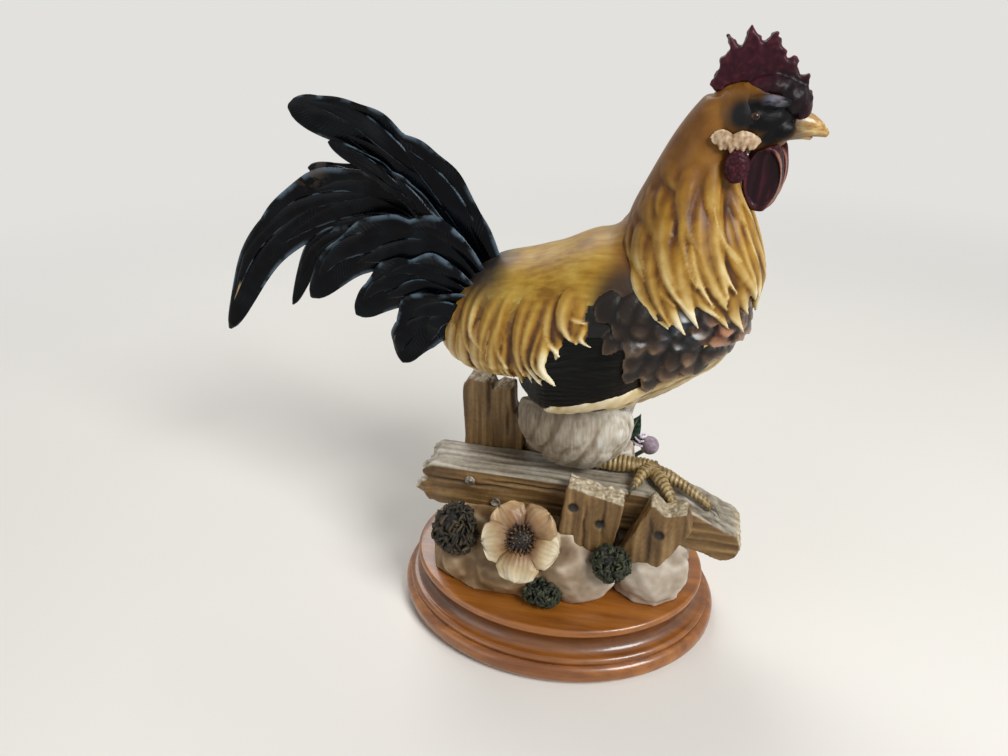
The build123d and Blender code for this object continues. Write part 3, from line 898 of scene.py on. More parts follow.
def wing_finish():
    finish = Finish("wing_paint", Specular_IOR_Level=0.11)
    ridge = finish.mark("ridge")
    streak = finish.cloud(1.0, (16, 1, 1), 3)
    blend = ridge + (streak - 0.5) * 0.6
    colour = finish.ramp(blend, (0.25, 2, 2, 2), (0.55, 9, 9, 8), (0.8, 26, 31, 27), (1.0, 64, 70, 64))
    brown = (1 - finish.axis("Z").fade(116, 124)) * 0.5 + finish.axis("X").fade(18, 36) * 0.4
    colour = finish.mix(brown, colour, finish.ramp(blend, (0.3, 10, 6, 3), (0.9, 62, 42, 26)))
    return finish.wear(colour, 0.4 - ridge * 0.1, streak, 0.5, 0.6)


def make_thigh(node, side):
    """A thigh of soft slanting folds of down, with smooth round tufts in front."""
    core = cast(node_copy(node), grain=1.0, soften=2)
    middle = middle_of(node)
    for vert in core.verts:
        low = 1 - ease((vert.co.z - PERCH) / 24)
        vert.co.x = middle.x + (vert.co.x - middle.x) * (1 - 0.1 * low)
        vert.co.y += (middle.y - vert.co.y) * 0.45 * low
        vert.co.z = PERCH + (vert.co.z - PERCH) * 1.08
    carve(
        core,
        lambda spot, normal: 0.8 * noise.noise(Vector((spot.x / 9 + spot.z / 18, spot.y / 9, spot.z / 20))),
    )
    plumage = Plumage(core)
    for top, low, count, half in (
        (122, 92, 6, 4.8), (106, PERCH + 2, 6, 4.2), (114, 88, 7, 1.8), (96, PERCH + 1.5, 6, 1.6)
    ):
        for index in range(count):
            x = middle.x - 20 + index * 42 / (count - 1) + between(-3, 3)
            start = top + between(-4, 4)
            end = max(low + between(-4, 4), PERCH + 1.0)
            points = [
                (x + 5, start), (x + 3.5, start * 0.65 + end * 0.35), (x, start * 0.3 + end * 0.7),
                (x - between(3, 6), end),
            ]
            for face in (side, -side):
                places = plumage.down_side(face, points)
                width = leaf_width(half * between(0.8, 1.2), 0.4, 0.55, 1.5)
                plumage.lock(places, width, 0.7 + half * 0.22, 0.8, 0.2, "down", chance.random())
    for x, top, low, half in ((27, 110, 99, 4.6), (21, 98, 88, 3.8)):
        for face in (side, -side):
            drops = [(low - top) * step / (LOCK_STEPS - 1) for step in range(LOCK_STEPS)]
            places = [plumage.from_side(face, x, top + drop) for drop in drops]
            plumage.lock(places, scale_width(half, 0.7, 0.5), 2.4, 0.4, 0.4, "down", 1.0)
    return plumage.poured(grain=0.55, soften=5, kinds=("down",), reach=30, height=0.6)


def thigh_finish():
    finish = Finish("down_paint", Specular_IOR_Level=0.35)
    strokes = finish.cloud(1.3, (1, 1, 7), 3)
    ridge = finish.mark("ridge") * 0.8 + 0.1 + (finish.cloud(8) - 0.5) * 0.3 + (strokes - 0.5) * 0.5
    pale = finish.ramp(
        ridge, (0.1, 84, 70, 54), (0.4, 148, 134, 114), (0.6, 188, 180, 166), (0.85, 222, 224, 220)
    )
    # Painted shade: the rear of each thigh, under the wing, takes a darker and browner copy of the pale down
    # paint.
    shaded_down = finish.ramp(ridge, (0.1, 44, 32, 22), (0.5, 100, 84, 64), (0.9, 160, 146, 124))
    down_shade = (1 - finish.axis("X").fade(-8, 26)) * 0.9
    colour = finish.mix(down_shade, pale, shaded_down)
    return finish.wear(colour, 0.5, strokes, 0.4, 0.6)


# Tail


TAIL_ROOT = (-35, 5)
LAYER_GAP = 3.0
CHIPPED_TIP = (-167, 144)
TORN_EDGE = (-118, 206)


def tail_width(half, tip):
    """A tail feather's half-width: a stout root, a long blade and a rounded end that starts at tip."""

    def width(share):
        blade = 0.42 + 0.58 * math.sin(math.pi / 2 * min(share / 0.42, 1))
        blade *= 1 - 0.3 * ease((share - 0.45) / 0.5)
        if share > tip:
            blade *= math.sqrt(max(1 - ((share - tip) / (1.002 - tip)) ** 2, 0.01))
        return half * blade

    return width


def make_tail_feather(layer, width, seed, roll, tip, *places):
    """One sickle or blade: a fluted, lobed main vane with long folds along both its faces."""
    y = ROOSTER_Y + layer * LAYER_GAP
    points = [(BODY_MIDDLE.x + x, y, BODY_MIDDLE.z + z) for x, z in (TAIL_ROOT, *places)]
    route = smooth_route(points, FEATHER_STEPS)
    toward = Vector((0, -1, 0))
    spine = spine_of([(spot, toward) for spot in route])
    half = tail_width(width / 2, tip)
    grow = random.Random(int(seed * 10))

    def relief(share, across, rise):
        flutes = 0.65 * math.sin(across * 7 + share * 4 + seed)
        lobes = 1.2 * math.sin(share * 17 + across * 3 + seed) * across
        curl = roll * across * abs(across)
        return (flutes + lobes + curl) * math.sin(math.pi * min(share * 1.1, 1)) ** 0.5

    def flare(share, across):
        scallop = abs(math.sin(share * 9.5 + seed)) - 0.6 + math.sin(share * 41 + seed * 3) * 0.12
        return 0.3 * half(share) * scallop * ease(across) * math.sin(math.pi * share)

    shape = new_shape()
    lay(shape, FEATHER_TUBE, spine, half, lambda share: 1.4 - 0.4 * share, relief, seed % 1, flare)
    for face in (1, -1):
        for index in range(3):
            first = 0.05 + 0.16 * index + grow.uniform(-0.03, 0.03)
            last = min(first + grow.uniform(0.5, 0.62), 0.95)
            lean = (-1) ** index * grow.uniform(0.3, 0.6)
            fold = []
            for step in range(VANE_STEPS):
                done = step / (VANE_STEPS - 1)
                share = first + (last - first) * step / (VANE_STEPS - 1)
                spot, side, normal = spine[round(share * (FEATHER_STEPS - 1))]
                out = 0.15 * lean + 0.85 * lean * ease(done)
                arch = math.sin(math.pi * step / (VANE_STEPS - 1))
                bulge = 0.2 + 1.2 * arch + relief(share, out, face) * face
                fold.append((spot + side * half(share) * out + normal * (face * bulge), normal))
            slim = leaf_width(width * grow.uniform(0.13, 0.2), 0.3, 0.5, 1.8)
            lay(
                shape, VANE_TUBE, spine_of(fold), slim, lambda share: 1.1 - 0.5 * share, None, grow.random()
            )
    return shape


def tail_finish():
    finish = Finish("tail_paint", Specular_IOR_Level=0.1)
    across = finish.mark("across")
    spread = finish.math("ABSOLUTE", across, 0.0)
    phase = finish.mark("run") - spread * 9.0
    barbs = finish.math("SINE", phase * 3.4 + finish.cloud(7) * 8.0, 0.0)
    colour = finish.ramp(finish.cloud(14), (0.3, 1, 1, 3), (0.5, 3, 4, 8), (0.72, 9, 15, 18))
    # Painted highlight: patchy pale silver-blue along the feathers' edges stands in for light glinting on
    # the glossy black paint.
    edge = spread.fade(0.78, 0.98) * finish.cloud(9).fade(0.44, 0.6)
    colour = finish.mix(edge * 0.75, colour, tint(92, 110, 124))
    colour = finish.mix(
        barbs.fade(0.5, 1.0) * finish.cloud(11).fade(0.48, 0.66) * 0.3, colour, tint(34, 43, 50)
    )
    chip = finish.near(*CHIPPED_TIP, 7.5, 2.0) * (0 - across).fade(0.1, 0.3)
    colour = finish.mix(chip, colour, tint(166, 138, 110))
    torn = finish.near(*TORN_EDGE, 9, 5) * finish.cloud(5).fade(0.45, 0.55)
    colour = finish.mix(torn * 0.6, colour, tint(86, 74, 66))
    return finish.wear(
        colour, 0.17 + finish.cloud(5) * 0.12, barbs * 0.3 + finish.cloud(3.0) * 2.0, 0.15, 0.4
    )


# Feet


# The length of one horny ring on a toe
SCUTE = 2.1
# A tone past any toe's, so that the paint can tell the claws
CLAW_TONE = 2.0


def make_toe(shape, points, root, tip, seed):
    """A ringed toe or shank along its points."""
    route = smooth_route(points, TOE_STEPS)
    length = sum((b - a).length for a, b in zip(route, route[1:]))
    spine = spine_of([(spot, UP) for spot in route])

    def radius(share):
        scute = abs(math.sin(math.pi * share * length / SCUTE))
        knuckle = 0.12 * math.sin(math.pi * share * 3 + seed) ** 2
        return (root + (tip - root) * share) * (0.88 + 0.14 * scute + knuckle)

    lay(shape, TOE_TUBE, spine, radius, radius, None, seed % 1)


def make_claw(shape, start, heading):
    """A short claw that hooks down from a toe's tip."""
    points = [start - heading * 1.5, start + heading * 2.2 + UP * 0.5, start + heading * 5 - UP * 2.2]
    spine = spine_of([(spot, UP) for spot in smooth_route(points, SHORT_STEPS)])

    def radius(share):
        return 1.5 * (1.06 - share)

    lay(shape, LOCK_TUBE, spine, radius, radius, None, CLAW_TONE)


def make_foot(leg_x, y, shank_length, toe_tips):
    """A shank lying forward over the perch, a hind toe beside it and three toes in front."""
    shape = new_shape()
    height = PERCH + 4.2
    front = leg_x + shank_length
    shank = [(leg_x - 6, y, height), (leg_x + shank_length / 2, y, height + 0.5), (front, y, height)]
    make_toe(shape, shank, 4.1, 3.5, 0.3)
    for seed, (x, toe_y, drop) in enumerate(toe_tips):
        tip = Vector((front + x, toe_y, height - drop))
        middle = Vector(((front - 3 + tip.x) / 2, (y + toe_y) / 2, (height + tip.z) / 2 + 2))
        make_toe(shape, [(front - 3, y, height), middle, tip], 3.4, 1.9, 0.4 + seed * 0.7)
        make_claw(shape, tip, (tip - middle).normalized())
    return shape


def foot_finish():
    finish = Finish("foot_paint", Coat_Weight=0.2, Coat_Roughness=0.3)
    rings = finish.math("SINE", finish.mark("run") * (2 * math.pi / SCUTE), 0.0)
    blend = rings * 0.2 + finish.cloud(3)
    colour = finish.ramp(
        blend, (0.2, 92, 70, 30), (0.5, 132, 108, 62), (0.75, 170, 150, 102), (1.0, 210, 194, 156)
    )
    colour = finish.mix(finish.mark("tone").fade(1.2, 1.8), colour, tint(88, 76, 58))
    return finish.wear(colour, 0.45, rings, 0.2, 0.3)


# Head


def make_head():
    """The head with a swelling brow and cheek, and a filled socket round each eye."""
    core = node_copy("head")
    for name, side in SIDES:
        eye = middle_of("eye_" + name)
        for offset, size in (((4, 6.6, 8.6), (8, 3.4, 2.6)), ((9, -3.0, 6.5), (6, 3.5, 4))):
            add_lump(core, HEAD_MIDDLE + Vector((offset[0], side * offset[2], offset[1])), size)
        add_lump(core, eye - Vector((0, side * 1.6, 0)), (3.4, 2.6, 3.4))
    shape = cast(core, grain=0.5, soften=6)
    carve(shape, lambda spot, normal: 0.2 * noise.noise(spot / 3.2))
    mark_ridges(shape, reach=10, height=0.5)
    return shape


def eye_smoke(finish):
    """Where the dark paint lies: an almond round the eye that runs into the beak's root."""
    eye = middle_of("eye_right")
    smoke = finish.near(eye.x - 4, eye.z + 0.5, 5.8, 3.0)
    for x, z, size in ((0, 0.5, 6.8), (4, 0.5, 7.5), (9, -2, 7.5), (14, 4, 8), (6, -7, 4.5)):
        smoke = finish.math("MAXIMUM", smoke, finish.near(eye.x + x, eye.z + z, size, 3.0))
    return smoke


def head_finish():
    finish = Finish("head_paint", Specular_IOR_Level=0.12)
    ridge = finish.ridge(0.4, 5)
    gold = finish.ramp(ridge, (0.2, 84, 50, 16), (0.5, 124, 82, 32), (0.8, 148, 106, 50))
    colour = finish.mix(eye_smoke(finish), gold, tint(9, 8, 11))
    # Painted highlight: a pale blue-grey streak on the brow ridge stands in for light catching it.
    shine = finish.cloud(2, (3, 1, 1)).fade(0.4, 0.6)
    brow = finish.near(HEAD_MIDDLE.x + 6, HEAD_MIDDLE.z + 8.5, 3.0, 3.0) * shine
    colour = finish.mix(brow * 0.7, colour, tint(118, 120, 136))
    return finish.wear(colour, 0.38, finish.cloud(1.2), 0.2, 0.5)


def make_comb():
    """The fleshy comb: thick over the forehead, thin at its points, its edge set with small knobs."""
    core = cast(node_copy("comb"), grain=0.45, soften=3)
    swellings = ((4.5, 10.5, (9.5, 7.4, 5.2)), (11.5, 7.0, (6.6, 8.2, 6.6)), (15.5, 4.6, (4.2, 6.4, 5.2)))
    for ahead, height, size in swellings:
        add_lump(core, HEAD_MIDDLE + Vector((ahead, 0, height)), size)
    edge = [
        vert.co.copy() for vert in core.verts if abs(vert.normal.y) < 0.25 and vert.co.z > HEAD_MIDDLE.z + 6
    ]
    for spot in chance.sample(edge, 44):
        size = between(0.5, 1.0)
        add_lump(core, spot, (size, size * 1.8, size))
    shape = cast(core, grain=0.42, soften=6)

    def flesh(spot, normal):
        return 0.22 * noise.noise(spot / 1.6) + 0.4 * lumps(spot, 2.6, 4, 6)

    carve(shape, flesh)
    soften_skin(shape, 1)
    mark_ridges(shape, reach=14, height=0.6)
    return shape


def comb_finish(name, rim):
    """Dark maroon flesh with pink worn onto its rims."""
    finish = Finish(name, Specular_IOR_Level=0.14)
    ridge = finish.ridge(0.4, 2.4)
    colour = finish.ramp(ridge, (0.2, 16, 5, 9), (0.52, 50, 17, 27), (0.75, 86, 36, 44), (0.98, *rim))
    dark = finish.near(HEAD_MIDDLE.x + 11, HEAD_MIDDLE.z + 8, 9, 6)
    colour = finish.mix(dark * 0.9, colour, tint(10, 8, 12))
    return finish.wear(colour, 0.4, finish.cloud(1.1), 0.15, 0.4)


FAR_WATTLE_AHEAD = 2.6


def make_wattle(node, side):
    """A hanging wattle: a thin dished flap with hanging folds inside a rolled rim."""
    middle, half = sizes_of(node)
    shape = cast(node_copy(node), grain=0.42, soften=3)
    layer = new_mark(shape, "rim")
    for vert in shape.verts:
        away = Vector(((vert.co.x - middle.x) / half.x, (vert.co.z - middle.z) / half.z)).length
        ahead = (vert.co.x - middle.x) / half.x
        rim = max(0, 1 - abs(away - 0.88) / 0.14)
        dish = 0.4 + 0.6 * min(away / 0.85, 1) ** 3
        vert.co.x += FAR_WATTLE_AHEAD if side == FAR else 0
        vert.co.y = middle.y + (vert.co.y - middle.y) * (dish + 0.5 * rim)
        vert[layer] = rim * ease(ahead * 1.6)
    carve(shape, lambda spot, normal: 0.45 * lumps(spot, 2.2, 3, 9))
    mark_ridges(shape, reach=10, height=0.5)
    return shape


def wattle_finish():
    finish = Finish("wattle_paint", Specular_IOR_Level=0.16)
    ridge = finish.ridge(0.4, 2.4, (1, 1, 4))
    colour = finish.ramp(ridge, (0.2, 14, 5, 9), (0.52, 36, 12, 20), (0.85, 92, 38, 44))
    # Painted light: the far wattle is painted lighter and redder than the near one, which is left in painted
    # shade.
    far = finish.axis("Y").fade(ROOSTER_Y, ROOSTER_Y + 2)
    colour = finish.mix(
        far * 0.45, colour, finish.ramp(ridge, (0.2, 52, 10, 18), (0.6, 134, 40, 48), (0.95, 176, 84, 84))
    )
    colour = finish.mix(finish.mark("rim").fade(0.5, 0.95) * 0.7, colour, tint(168, 130, 112))
    return finish.wear(colour, 0.34, finish.cells(1.3), 0.2, 0.4)


def make_lobe(node):
    """An ear lobe covered in fine pebbles."""
    shape = cast(node_copy(node), grain=0.3, soften=2)
    carve(shape, lambda spot, normal: 0.4 - 0.6 * noise.voronoi(spot / 1.25)[0][0])
    soften_skin(shape, 1)
    mark_ridges(shape, reach=10, height=0.4)
    return shape


def make_ear_tuft(node):
    """The cream patch over the ear: two lobes above, a ragged edge below."""
    middle, half = sizes_of(node)
    side = -1 if middle.y < ROOSTER_Y else 1
    shape = cast(node_copy(node), grain=0.34, soften=2)
    for vert in shape.verts:
        ahead = (vert.co.x - middle.x) * 1.25
        height = (vert.co.z - middle.z) / half.z
        notch = max(0, 1 - abs(ahead + 1) / 3.2)
        rag = 0.7 * math.sin(ahead * 1.7) + 0.4 * math.sin(ahead * 3.1 + 1)
        vert.co.x = middle.x + ahead
        vert.co.z -= 1.9 * notch * ease(height) - rag * ease(-height)
        vert.co.y += side * 1.2
    carve(shape, lambda spot, normal: 0.25 * lumps(spot, 1.6, 2, 3.6))
    mark_ridges(shape, reach=8, height=0.4)
    return shape


def ear_tuft_finish():
    finish = Finish("cream_paint")
    ridge = finish.ridge(0.4, 1.6)
    colour = finish.ramp(ridge, (0.2, 74, 42, 22), (0.45, 150, 116, 84), (0.7, 214, 194, 164))
    return finish.wear(colour, 0.5, finish.cells(1.6), 0.4, 0.4)


def make_beak(node, depth, length):
    """Half of the beak, hung from its top edge and its root; the lower half tucks up under the upper one."""
    low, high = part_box(node)
    shape = cast(node_copy(node), grain=0.3, soften=3)
    for vert in shape.verts:
        vert.co.z = high.z / MM + (vert.co.z - high.z / MM) * depth
        vert.co.x = low.x / MM + (vert.co.x - low.x / MM) * length
    return shape


def beak_finish():
    finish = Finish("horn_paint", Coat_Weight=0.3, Coat_Roughness=0.2)
    base = 1 - finish.axis("X").fade(HEAD_MIDDLE.x + 13, HEAD_MIDDLE.x + 22)
    streak = finish.cloud(1.6, (4, 1, 1))
    colour = finish.ramp(streak, (0.3, 134, 92, 40), (0.5, 178, 140, 76), (0.72, 218, 194, 140))
    colour = finish.mix(base * 0.85, colour, tint(50, 34, 30))
    return finish.wear(colour, 0.36, streak, 0.2, 0.3)


def make_eye(node):
    """A dark bright eye set in the skin."""
    middle = middle_of(node)
    inward = 1 if middle.y < ROOSTER_Y else -1
    shape = bmesh.new()
    add_lump(shape, middle + Vector((0, 0.4 * inward, 0)), (1.9, 1.8, 1.7))
    return shape


def eye_finish():
    finish = Finish("eye_paint", Specular_IOR_Level=0.3, Coat_Weight=0.1, Coat_Roughness=0.05)
    middle = middle_of("eye_right")
    colour = finish.mix(finish.near(middle.x, middle.z, 1.5, 0.2), tint(132, 84, 50), tint(66, 34, 16))
    colour = finish.mix(finish.near(middle.x + 0.2, middle.z, 0.95, 0.3), colour, tint(3, 3, 4))
    return finish.wear(colour, 0.22)


# Fence


def grain_of(spot, along, coarse=2.4):
    """Wood grain drawn out along one axis, about -1 to 1."""
    stretch = [coarse, coarse, coarse]
    stretch[along] = 42
    wide = noise.noise(Vector((spot.x / stretch[0], spot.y / stretch[1], spot.z / stretch[2])))
    stretch = [part * 0.4 for part in stretch]
    fine = noise.noise(Vector((spot.x / stretch[0], spot.y / stretch[1] + 9, spot.z / stretch[2])))
    return wide + 0.6 * fine


LENGTHWISE = 0
UPRIGHT = 2
# How far a timber leans, widens and is drawn upward, as shares
TIMBER_SET = dict(fence_stake_right=(0.24, 1.14, 0.36), fence_post_front=(0.07, 1.0, 0.0))


def make_timber(node, along, cracks, knots):
    """A weathered fence timber: raised grain, drying cracks, dark knots and splintered ends."""
    shape = cast(node_copy(node), grain=0.65, soften=3)
    lean, widen, stretch = TIMBER_SET.get(node, (0, 1, 0))
    foot = middle_of(node)
    for vert in shape.verts:
        vert.co.x = foot.x + (vert.co.x - foot.x) * widen + (vert.co.z - foot.z) * lean
        vert.co.z += max(vert.co.z - foot.z, 0) * stretch
    shape.normal_update()
    end = new_mark(shape, "end")
    top = new_mark(shape, "top")
    vein = new_mark(shape, "vein")
    knot_mark = new_mark(shape, "knot")
    moves = []
    for vert in shape.verts:
        spot, normal = vert.co, vert.normal
        end_grain = min(max((abs(normal[along]) - 0.5) / 0.35, 0), 1)
        grain_height = grain_of(spot, along)
        depth = 0.38 * grain_height * (1 - end_grain)
        depth += end_grain * 1.1 * lumps(spot, 2.2, 2.2, 2.2)
        depth += 0.5 * noise.noise(spot / 9) + 2.2 * noise.noise(spot / 5) * ease((-52 - spot.x) / 10)
        for x, z, reach in cracks:
            away = (spot.z - z) if along == LENGTHWISE else (spot.x - x)
            length = (spot.x - x) if along == LENGTHWISE else (spot.z - z)
            wander = 1.2 * noise.noise(Vector((length / 9, x, z)))
            inside = max(0, 1 - abs(away + wander) / 0.9) * max(0, 1 - (abs(length) / reach) ** 2)
            depth -= 1.3 * inside
            grain_height -= 1.6 * inside
        dark = 0.0
        for x, z, radius in knots:
            away = Vector((spot.x - x, spot.z - z)).length / radius
            dark = max(dark, max(0, 1 - away ** 2))
            depth -= 1.2 * max(0, 1 - away ** 2)
        vert[end] = end_grain
        vert[top] = min(max((normal.z - 0.45) / 0.4, 0), 1)
        vert[vein] = 0.5 + 0.4 * grain_height
        vert[knot_mark] = dark
        moves.append((vert, normal * depth))
    for vert, move in moves:
        vert.co += move
    shape.normal_update()
    return shape


def timber_finish(name, dark, mid, pale, bleached_and_lit):
    finish = Finish(name)
    vein = finish.mark("vein") + (finish.cloud(2.0) - 0.5) * 0.35
    colour = finish.ramp(vein, (0.1, *dark), (0.48, *mid), (0.85, *pale))
    # Upward faces turn pale silver-grey: weathering paint, which is also painted light from above.
    weather_and_top_light = finish.mark("top") * (0.55 + finish.cloud(8) * 0.6)
    silver_and_lit = finish.ramp(vein, (0.15, 92, 80, 62), (0.5, 148, 142, 128), (0.85, *bleached_and_lit))
    colour = finish.mix(weather_and_top_light, colour, silver_and_lit)
    cut = finish.ramp(
        finish.cloud(1.6) * 0.6 + vein * 0.4, (0.3, 112, 92, 66), (0.5, 176, 162, 134), (0.7, 222, 214, 196)
    )
    colour = finish.mix(finish.mark("end") * finish.cloud(4).fade(0.1, 0.4), colour, cut)
    colour = finish.mix(finish.mark("knot").fade(0.1, 0.6), colour, tint(24, 14, 6))
    return finish.wear(colour, 0.62 - vein * 0.12, finish.cloud(0.8), 0.25, 0.4)


def make_nails():
    """Two dished nail heads with a worn rim."""
    shape = bmesh.new()
    nails = node_copy("rail_nails")
    middles = []
    for vert in nails.verts:
        if not any((Vector((vert.co.x, vert.co.z)) - spot).length < 5 for spot in middles):
            middles.append(Vector((vert.co.x, vert.co.z)))
    heads = []
    for rough in middles:
        group = [v.co for v in nails.verts if (Vector((v.co.x, v.co.z)) - rough).length < 6]
        low = Vector((min(c.x for c in group), min(c.y for c in group), min(c.z for c in group)))
        high = Vector((max(c.x for c in group), max(c.y for c in group), max(c.z for c in group)))
        heads.append(((low + high) / 2, low.y))
    nails.free()
    for middle, front in heads:
        nail = bmesh.new()
        bmesh.ops.create_circle(nail, cap_ends=True, segments=24, radius=2.3)
        for radius, lift in ((2.3, 0.9), (1.9, 1.2), (1.4, 1.0), (0.9, 0.75)):
            face = max(nail.faces, key=lambda f: f.calc_center_median().z)
            grown = bmesh.ops.extrude_face_region(nail, geom=[face])
            ring = [item for item in grown["geom"] if isinstance(item, bmesh.types.BMVert)]
            for vert in ring:
                flat = Vector((vert.co.x, vert.co.y, 0)).normalized() * radius
                vert.co = Vector((flat.x, flat.y, lift))
        bmesh.ops.recalc_face_normals(nail, faces=nail.faces)
        for vert in nail.verts:
            vert.co = Vector((middle.x + vert.co.x, front + 0.9 - vert.co.z, middle.z + vert.co.y))
        bmesh.ops.recalc_face_normals(nail, faces=nail.faces)
        join(shape, nail)
    return shape


def nail_finish():
    finish = Finish("nail_paint", Metallic=0.4)
    colour = finish.ramp(finish.cloud(1.2), (0.3, 84, 72, 58), (0.5, 150, 140, 124), (0.7, 206, 200, 188))
    return finish.wear(colour, 0.45, finish.cloud(0.6), 0.3, 0.3)


# Rockwork and planting


STONES = dict(
    rock_main=((13, -28, 38, (19, 13, 16)), (-16, -30, 33, (20, 11, 11)), (-38, -24, 32, (16, 12, 10))),
    rock_right=((46, -20, 39, (17, 13.5, 15.5)), (55, -8, 42, (8, 13, 16))),
    rock_rear=((2, 32, 43, (22, 11, 18)), (-27, 27, 40, (15, 13, 15)), (23, 30, 38, (14, 12, 13))),
)


def add_stone(shape, spot, size, seed):
    """Adds a hewn stone: a few broad flat faces."""
    grow = random.Random(seed)
    stone = bmesh.new()
    bmesh.ops.create_icosphere(stone, subdivisions=2, radius=1)
    for vert in stone.verts:
        vert.co *= grow.uniform(0.86, 1.08)
    bmesh.ops.scale(stone, vec=size, verts=stone.verts)
    bmesh.ops.translate(stone, vec=spot, verts=stone.verts)
    join(shape, stone)


def make_rock(node):
    """A boulder with broad worn faces, and hewn stones packed round its foot."""
    core = node_copy(node)
    for seed, (x, y, z, size) in enumerate(STONES[node]):
        add_stone(core, Vector((x, y, z)), size, seed + 3)
    shape = cast(core, grain=0.95, soften=4)
    carve(shape, lambda spot, normal: 0.7 * noise.noise(spot / 11) + 0.2 * noise.noise(spot / 3))
    mark_ridges(shape, reach=16, height=1.0)
    for vert in shape.verts:
        vert.co.z = max(vert.co.z, PLINTH_TOP)
    return shape


def rock_finish():
    finish = Finish("rock_paint")
    ridge = finish.ridge(0.5, 14) + (finish.cloud(3) - 0.5) * 0.15
    brown = finish.ramp(
        ridge, (0.15, 62, 42, 20), (0.45, 112, 84, 50), (0.65, 150, 124, 90), (0.95, 204, 188, 162)
    )
    grey = finish.ramp(
        ridge, (0.15, 102, 86, 68), (0.45, 158, 144, 126), (0.65, 190, 180, 166), (0.95, 226, 220, 210)
    )
    colour = finish.mix(finish.axis("X").fade(-6, 34) * 0.8, brown, grey)
    return finish.wear(colour, 0.6, finish.cloud(1.6, detail=5), 0.25, 0.5)


BROWN_MOSS = (-44, 55)


def make_moss(node, strands, length, seed):
    """A shaggy tuft: short broad fibres that lie over a low mound and curl at their tips."""
    grow = random.Random(seed)
    middle, half = sizes_of(node)
    mound = cast(node_copy(node), grain=0.8, soften=1)
    carve(mound, lambda spot, normal: -1.2 + 1.6 * noise.noise(spot / 2.2))
    shape = new_shape()
    join(shape, mound)
    for _ in range(strands):
        turn = grow.uniform(0, 2 * math.pi)
        rise = grow.uniform(-0.6, 1)
        flat = math.sqrt(max(1 - rise * rise, 0.01))
        out = Vector((flat * math.cos(turn), flat * math.sin(turn), rise))
        start = middle + Vector((out.x * half.x, out.y * half.y, out.z * half.z)) * 0.86
        reach = length * grow.uniform(0.5, 1.1)
        wild = Vector((grow.uniform(-1, 1), grow.uniform(-1, 1), grow.uniform(-1.4, 0.4)))
        lie = wild - out * wild.dot(out)
        knee = start + (out * 0.5 + lie).normalized() * reach * 0.55
        tip = knee + (lie * 0.9 - out * 0.25 - UP * 0.4).normalized() * reach * 0.55
        across = (out.cross(lie) + out * 0.4).normalized()
        spine = spine_of([(spot, across) for spot in smooth_route([start, knee, tip], STRAND_STEPS)])
        lay(
            shape, STRAND_TUBE, spine, leaf_width(grow.uniform(0.9, 1.7), 0.5, 0.5), steady(0.6), None,
            grow.random(),
        )
    return shape


def moss_finish():
    finish = Finish("moss_paint")
    lift = finish.mark("along") * 0.6 + finish.mark("tone") * 0.4 + (finish.cloud(4) - 0.5) * 0.4
    colour = finish.ramp(lift, (0.1, 8, 8, 4), (0.5, 30, 34, 16), (0.75, 58, 64, 36), (1.0, 104, 106, 72))
    brown = finish.near(*BROWN_MOSS, 16, 8)
    colour = finish.mix(
        brown * 0.75, colour, finish.ramp(lift, (0.2, 12, 7, 3), (0.6, 46, 31, 17), (0.95, 104, 80, 50))
    )
    return finish.wear(colour, 0.7)


FLOWER_TILT = math.radians(40)
FLOWER_FACE = Vector((0, -math.cos(FLOWER_TILT), math.sin(FLOWER_TILT)))
FLOWER_RISE = Vector((0, math.sin(FLOWER_TILT), math.cos(FLOWER_TILT)))
FLOWER_MIDDLE = Vector((-10, -37, 59))


def make_petal(index):
    """A broad cupped petal with a ruffled outer edge and soft veins, overlapping its neighbours."""
    angle = math.radians(270 + 72 * index + (0, 5, -4, 6, -5)[index])
    out = Vector((1, 0, 0)) * math.cos(angle) + FLOWER_RISE * math.sin(angle)
    tuck = (1.4, -0.9, 0.7, -1.0, 0.2)[index]
    droop = (-4.5, -1.5, 0.5, 0.2, -2.0)[index]
    reach = (16.5, 15.0, 14.5, 15.0, 15.5)[index]
    places = []
    for step in range(PETAL_STEPS):
        share = step / (PETAL_STEPS - 1)
        cup = 3.0 * math.sin(math.pi * 0.6 * share) + droop * share ** 3 + tuck * share
        places.append(
            (FLOWER_MIDDLE + out * (2.3 + reach * share) + FLOWER_FACE * (cup - 0.8), FLOWER_FACE)
        )

    def width(share):
        if share < 0.62:
            return 9.2 * (0.34 + 0.66 * math.sin(math.pi / 2 * share / 0.62))
        return 9.2 * math.sqrt(max(1 - ((share - 0.62) / 0.385) ** 2, 0.02))

    def relief(share, across, rise):
        veins = 0.18 * math.sin(across * 17) * math.sin(math.pi * share)
        ruffle = 1.5 * share ** 2 * math.sin(across * 6.0 + index * 2.1)
        return veins + ruffle - 2.2 * across * across * (1 - 0.5 * share) + 0.9 + 0.8 * across

    def notch(share, across):
        return 0.5 * across * math.sin(share * 23 + index * 1.7) * share

    shape = new_shape()
    lay(
        shape, PETAL_TUBE, spine_of(places), width, lambda share: 0.9 - 0.4 * share, relief, index / 5,
        notch,
    )
    return shape


def petal_finish():
    finish = Finish("petal_paint", Coat_Weight=0.1)
    across = finish.mark("across")
    along = finish.mark("along") + (finish.cloud(5) - 0.5) * 0.4
    veins = finish.math("SINE", across * 26.0 + finish.cloud(6) * 4.0, 0.0)
    colour = finish.ramp(
        along, (0.1, 74, 46, 18), (0.35, 128, 94, 56), (0.62, 178, 156, 118), (0.92, 210, 198, 170)
    )
    # Painted shade: the upper petals take a darker, browner copy of the petal paint.
    painted_shade = finish.axis("Z").fade(60, 68)
    colour = finish.mix(
        painted_shade * 0.75, colour,
        finish.ramp(along, (0.2, 78, 46, 16), (0.6, 130, 86, 42), (0.95, 180, 142, 92)),
    )
    colour = finish.mix(veins.fade(0.2, 1.0) * 0.14, colour, tint(112, 80, 44))
    return finish.wear(colour, 0.5, veins, 0.25, 0.3)


